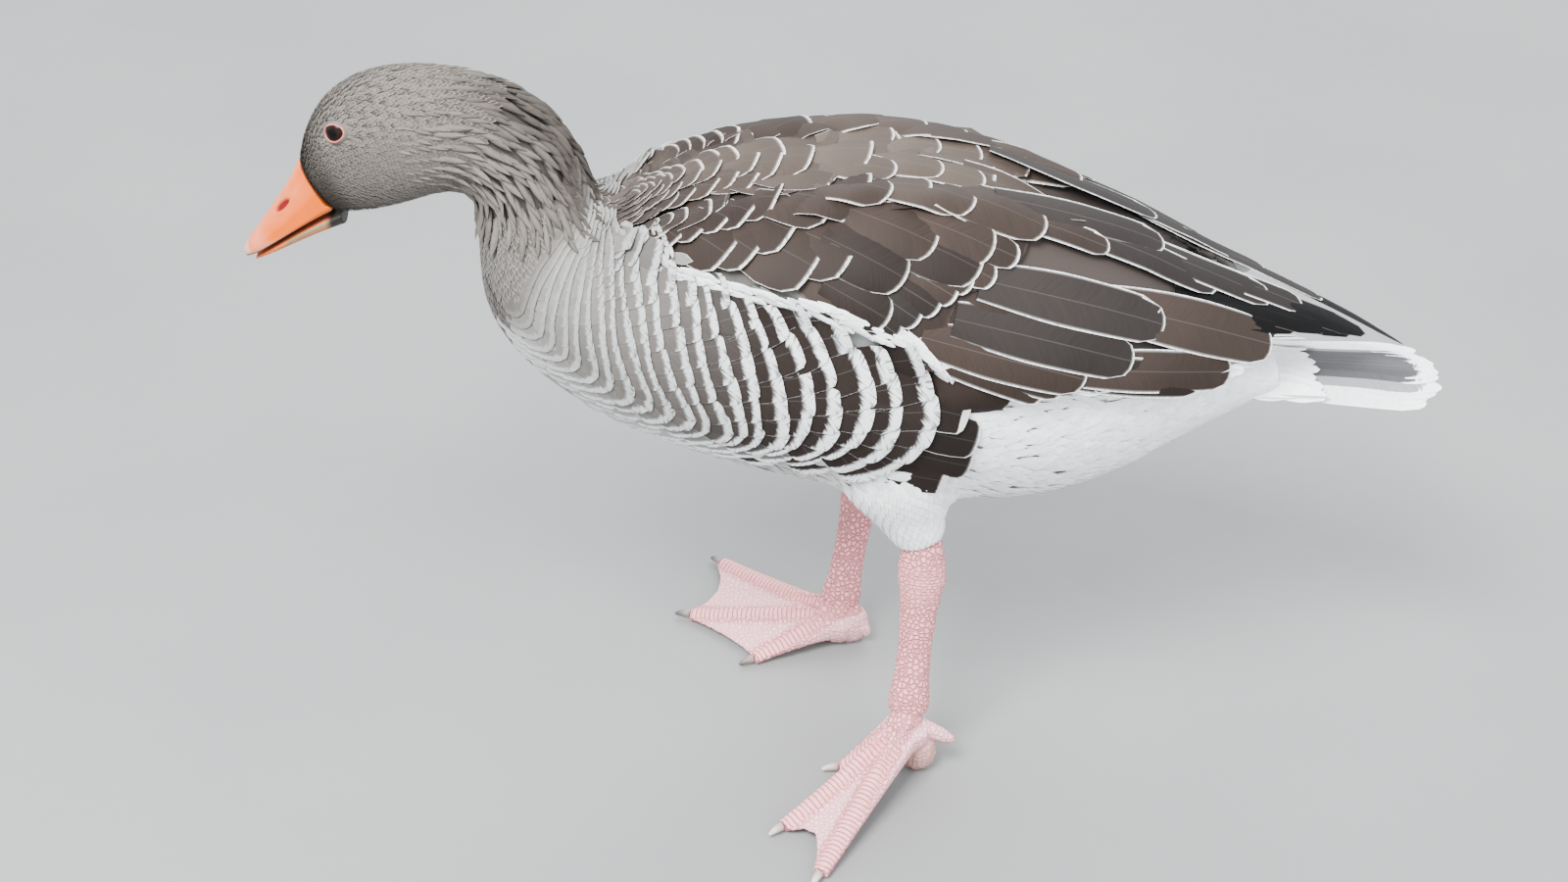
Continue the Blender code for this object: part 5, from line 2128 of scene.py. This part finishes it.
class ThighCoat(Tract):
    """The short white feathers that cover the thighs down to the bare leg."""

    LENGTH, WIDTH = 0.0130, 0.0060
    RINGS, AROUND = 18, 26
    THICKEST = 0.045  # no thigh's surface is further from its middle line

    def build(self) -> None:
        """Grows both thighs."""
        vane = Vane(3, 2, tip=0.7, square=1.4, camber=0.08)
        coat = Coat("coat_thighs", self.body, vane, self.material, "pale_plumage")
        for limb in LIMBS:
            down = (limb.cuff - limb.knee).normalized()
            across = down.cross(Vector((0, 1, 0))).normalized()
            for ring in range(self.RINGS):
                share = 0.08 + 0.92 * ring / (self.RINGS - 1)
                for k in range(self.AROUND):
                    turn = 2 * math.pi * (k + (ring % 2) / 2) / self.AROUND
                    out = Matrix.Rotation(turn, 3, down) @ across
                    self.tuft(coat, limb, out, share, turn)
        coat.build()

    def tuft(self, coat: Coat, limb: Limb, out: Vector, share: float, turn: float) -> None:
        """Adds one vane where the thigh's surface is near its middle line.

        Args:
            coat: the piece.
            limb: its leg.
            out: the way out of the thigh.
            share: how far down the thigh it is, from 0 to 1.
            turn: how far round the thigh it is, in radians.
        """
        middle = limb.knee.lerp(limb.cuff, share)
        point, normal, _, _ = self.body.tree.ray_cast(middle, out, self.THICKEST)
        if point is None:
            return
        normal = normal if normal.dot(out) > 0 else -normal
        down = (limb.cuff - limb.knee).normalized()
        lie = flat(down + Vector((0.25, 0, 0)), normal)
        place = (limb.side.value * (60 + 100 * turn / (2 * math.pi)), 21.0 + 4.0 * share)
        spot = Spot(point, normal, lie, place)
        shade = self.tint(mix(WHITE, BREAST, 0.15), 0.04)
        size = 1.15 - 0.35 * share
        look = Look(shade, WHITE, 0.0008, 0.05, 0.3)
        coat.grow(spot, self.LENGTH * size, self.WIDTH * size, look, Stance(0.0018, 0.0008))


class TailCoat(Tract):
    """The tail's fan, white with grey-brown middles, and the coverts over its root."""

    FEATHERS = 14
    WIDTH = 0.020
    MIDDLE = (0.065, 0.064, 0.067)
    PATCH = 0.05  # of the bake map, across one feather of the fan
    ROWS, ACROSS = 5, 9  # of the coverts, above and below

    def build(self) -> None:
        """Grows the fan and its coverts."""
        vane = Vane(8, 6, root=0.55, tip=0.75, square=1.7, camber=0.05)
        made = (self.material, "tail_plumage")
        coat = Coat("tail_feathers", self.body, vane, *made, patch=self.PATCH)
        low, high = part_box("tail")
        middle = (low.y + high.y) / 2
        half = (high.y - low.y) / 2 - self.WIDTH * 0.5
        order = sorted(range(self.FEATHERS), key=lambda i: -abs(i - (self.FEATHERS - 1) / 2))
        for layer, i in enumerate(order):
            t = 2 * i / (self.FEATHERS - 1) - 1
            root = Vector((0.228, middle + 0.020 * t, high.z - 0.004 - 0.004 * t * t))
            back = high.x - 0.010 * t * t - 0.004 * self.vary(1.0)
            end = Vector((back, middle + half * t, low.z + 0.0035 - 0.0015 * t * t))
            self.fan_feather(coat, root, end, t, layer)
        coat.build("tail")
        self.coverts(middle)

    def fan_feather(self, coat: Coat, root: Vector, end: Vector, t: float, layer: int) -> None:
        """Adds one feather of the fan.

        Args:
            coat: the piece.
            root: where it starts.
            end: where it ends.
            t: its place across the fan, from -1 to 1.
            layer: how many feathers lie below it.
        """
        points = [root.lerp(end, k / coat.steps) for k in range(coat.steps + 1)]
        lie = (end - root).normalized()
        up = flat(Vector((0, 0.15 * t, 1)), lie)
        shade = mix(self.MIDDLE, WHITE, ramp(0.45, 0.75, abs(t)))
        look = Look(shade, WHITE, 0.0105, 0.0, 0.10, 0.2)
        stance = Stance(0.0, 0.00018 * layer, 0.0)
        here = ((layer + 0.5) / 18, 0.5)
        coat.lay((points, [up] * len(points)), (end - root).length, self.WIDTH, look, stance, here)

    def coverts(self, middle: float) -> None:
        """Adds the white feathers over and under the tail's root.

        Args:
            middle: the Y of the tail's middle.
        """
        vane = Vane(5, 4, root=0.6, tip=0.9, square=1.8, camber=0.06)
        coat = Coat("coat_rump", self.body, vane, self.material, "pale_plumage")
        for above in (1.0, -1.0):
            for row in range(self.ROWS):
                for k in range(self.ACROSS):
                    t = (k + (row % 2) / 2) / (self.ACROSS / 2 - 0.25) - 1
                    back = 0.208 + 0.009 * row + 0.004 * self.vary(1.0)
                    start = Vector((back, middle + 0.030 * t, 0.2365))
                    start.z += above * (0.0085 - 0.0006 * row - 0.004 * t * t)
                    lie = Vector((1.0, 0.12 * t, -0.12 if above > 0 else 0.06)).normalized()
                    points = [start + lie * (0.012 * i) for i in range(coat.steps + 1)]
                    up = flat(Vector((0, 0.5 * t, above)), lie)
                    look = Look(self.tint(WHITE, 0.03), WHITE, 0.001, 0.0)
                    here = ((k + 1) / 11, 0.1 + 0.02 * row + (0.4 if above > 0 else 0.0))
                    path = (points, [up] * len(points))
                    coat.lay(path, 0.036, 0.014, look, Stance(0.0, 0.0010), here)
        coat.build()


# ---- studio ----


@dataclass
class Studio:
    """A plain pale floor, soft light, and the camera."""

    pitch: float = 34.0
    distance: float = 1.5
    lens: float = 55.33
    aim_height: float = 0.18
    aim_x: float = -0.0409
    floor_size: float = 30.0
    floor_drop: float = 0.0002  # keeps the floor clear of the soles
    sky_colour: tuple = (0.86, 0.93, 1.0, 1.0)
    sky_strength: float = 2.6
    lit: tuple = (0.0, 0.05, 0.25)  # the point that the lamps face

    def build(self, floor_finish: Material) -> None:
        """Makes the floor, the lamps, the sky and the camera.

        Args:
            floor_finish: the floor's material.
        """
        bm = bmesh.new()
        bmesh.ops.create_grid(bm, x_segments=1, y_segments=1, size=self.floor_size)
        bmesh.ops.translate(bm, verts=bm.verts, vec=(0.0, 0.0, -self.floor_drop))
        floor = bpy.data.objects.new("floor", from_bmesh("floor", bm))
        floor.data.materials.append(floor_finish)
        bpy.context.scene.collection.objects.link(floor)
        self.lamp("key", (-0.9, -1.4, 2.7), 1.3, 290.0)
        self.lamp("fill", (1.8, -1.6, 1.4), 2.0, 50.0)
        self.lamp("back", (0.4, 2.2, 2.2), 1.8, 80.0)
        world = bpy.data.worlds.new("sky")
        world.use_nodes = True
        sky = world.node_tree.nodes["Background"]
        sky.inputs["Color"].default_value = self.sky_colour
        sky.inputs["Strength"].default_value = self.sky_strength
        bpy.context.scene.world = world
        self.camera()

    def lamp(self, name: str, place: tuple, size: float, watts: float) -> None:
        """Adds a square lamp that points at the goose.

        Args:
            name: its name.
            place: where it hangs.
            size: its side.
            watts: its power.
        """
        data = bpy.data.lights.new(name, "AREA")
        data.size = size
        data.energy = watts
        lamp = bpy.data.objects.new(name, data)
        lamp.location = place
        aim = Vector(self.lit) - Vector(place)
        lamp.rotation_euler = aim.to_track_quat("-Z", "Y").to_euler()
        bpy.context.scene.collection.objects.link(lamp)

    def camera(self) -> None:
        """Adds the camera, which looks down on the goose's left side."""
        low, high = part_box("head")
        pitch = math.radians(self.pitch)
        aim = Vector((self.aim_x, (low.y + high.y) / 2, self.aim_height))
        back = Vector((0.0, -math.cos(pitch), math.sin(pitch)))
        data = bpy.data.cameras.new("camera")
        data.lens = self.lens
        camera = bpy.data.objects.new("camera", data)
        camera.location = aim + back * self.distance
        camera.rotation_euler = (-back).to_track_quat("-Z", "Y").to_euler()
        bpy.context.scene.collection.objects.link(camera)
        bpy.context.scene.camera = camera


def main() -> None:
    """Builds the goose in order."""
    logging.basicConfig(level=logging.INFO, format="%(name)s: %(message)s", stream=sys.stdout)
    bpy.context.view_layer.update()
    axis = BodyAxis()
    vanes = VaneFinish("goose_vanes").make()
    skin = Skin(axis)
    body = Surface(axis, skin.envelope)
    wing_mesh = from_bmesh("wing_guide", node_bmesh("wing_left", "wing_right", "trunk"))
    wings = Surface(axis, wing_mesh, from_inside=False)
    skin.build(SkinFinish().make())
    Eyes(skin).build(EYE_GLASS.make())
    Bill().build(skin, BILL_HORN.make())
    Claws().build(CLAW_HORN.make())
    tracts = (HeadCoat, NeckCoat, BreastCoat, FlankCoat, MantleCoat, WingCoat, ThighCoat, TailCoat)
    for tract in tracts:
        tract(axis, body, wings, vanes).build()
    Studio().build(FLOOR.make())


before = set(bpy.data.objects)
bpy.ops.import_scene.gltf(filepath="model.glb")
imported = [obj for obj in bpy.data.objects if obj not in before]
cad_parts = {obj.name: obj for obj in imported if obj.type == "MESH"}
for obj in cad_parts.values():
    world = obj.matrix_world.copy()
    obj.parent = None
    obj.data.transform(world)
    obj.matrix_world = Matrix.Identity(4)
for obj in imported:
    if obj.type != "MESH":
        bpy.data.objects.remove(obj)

if __name__ == "__main__":
    main()
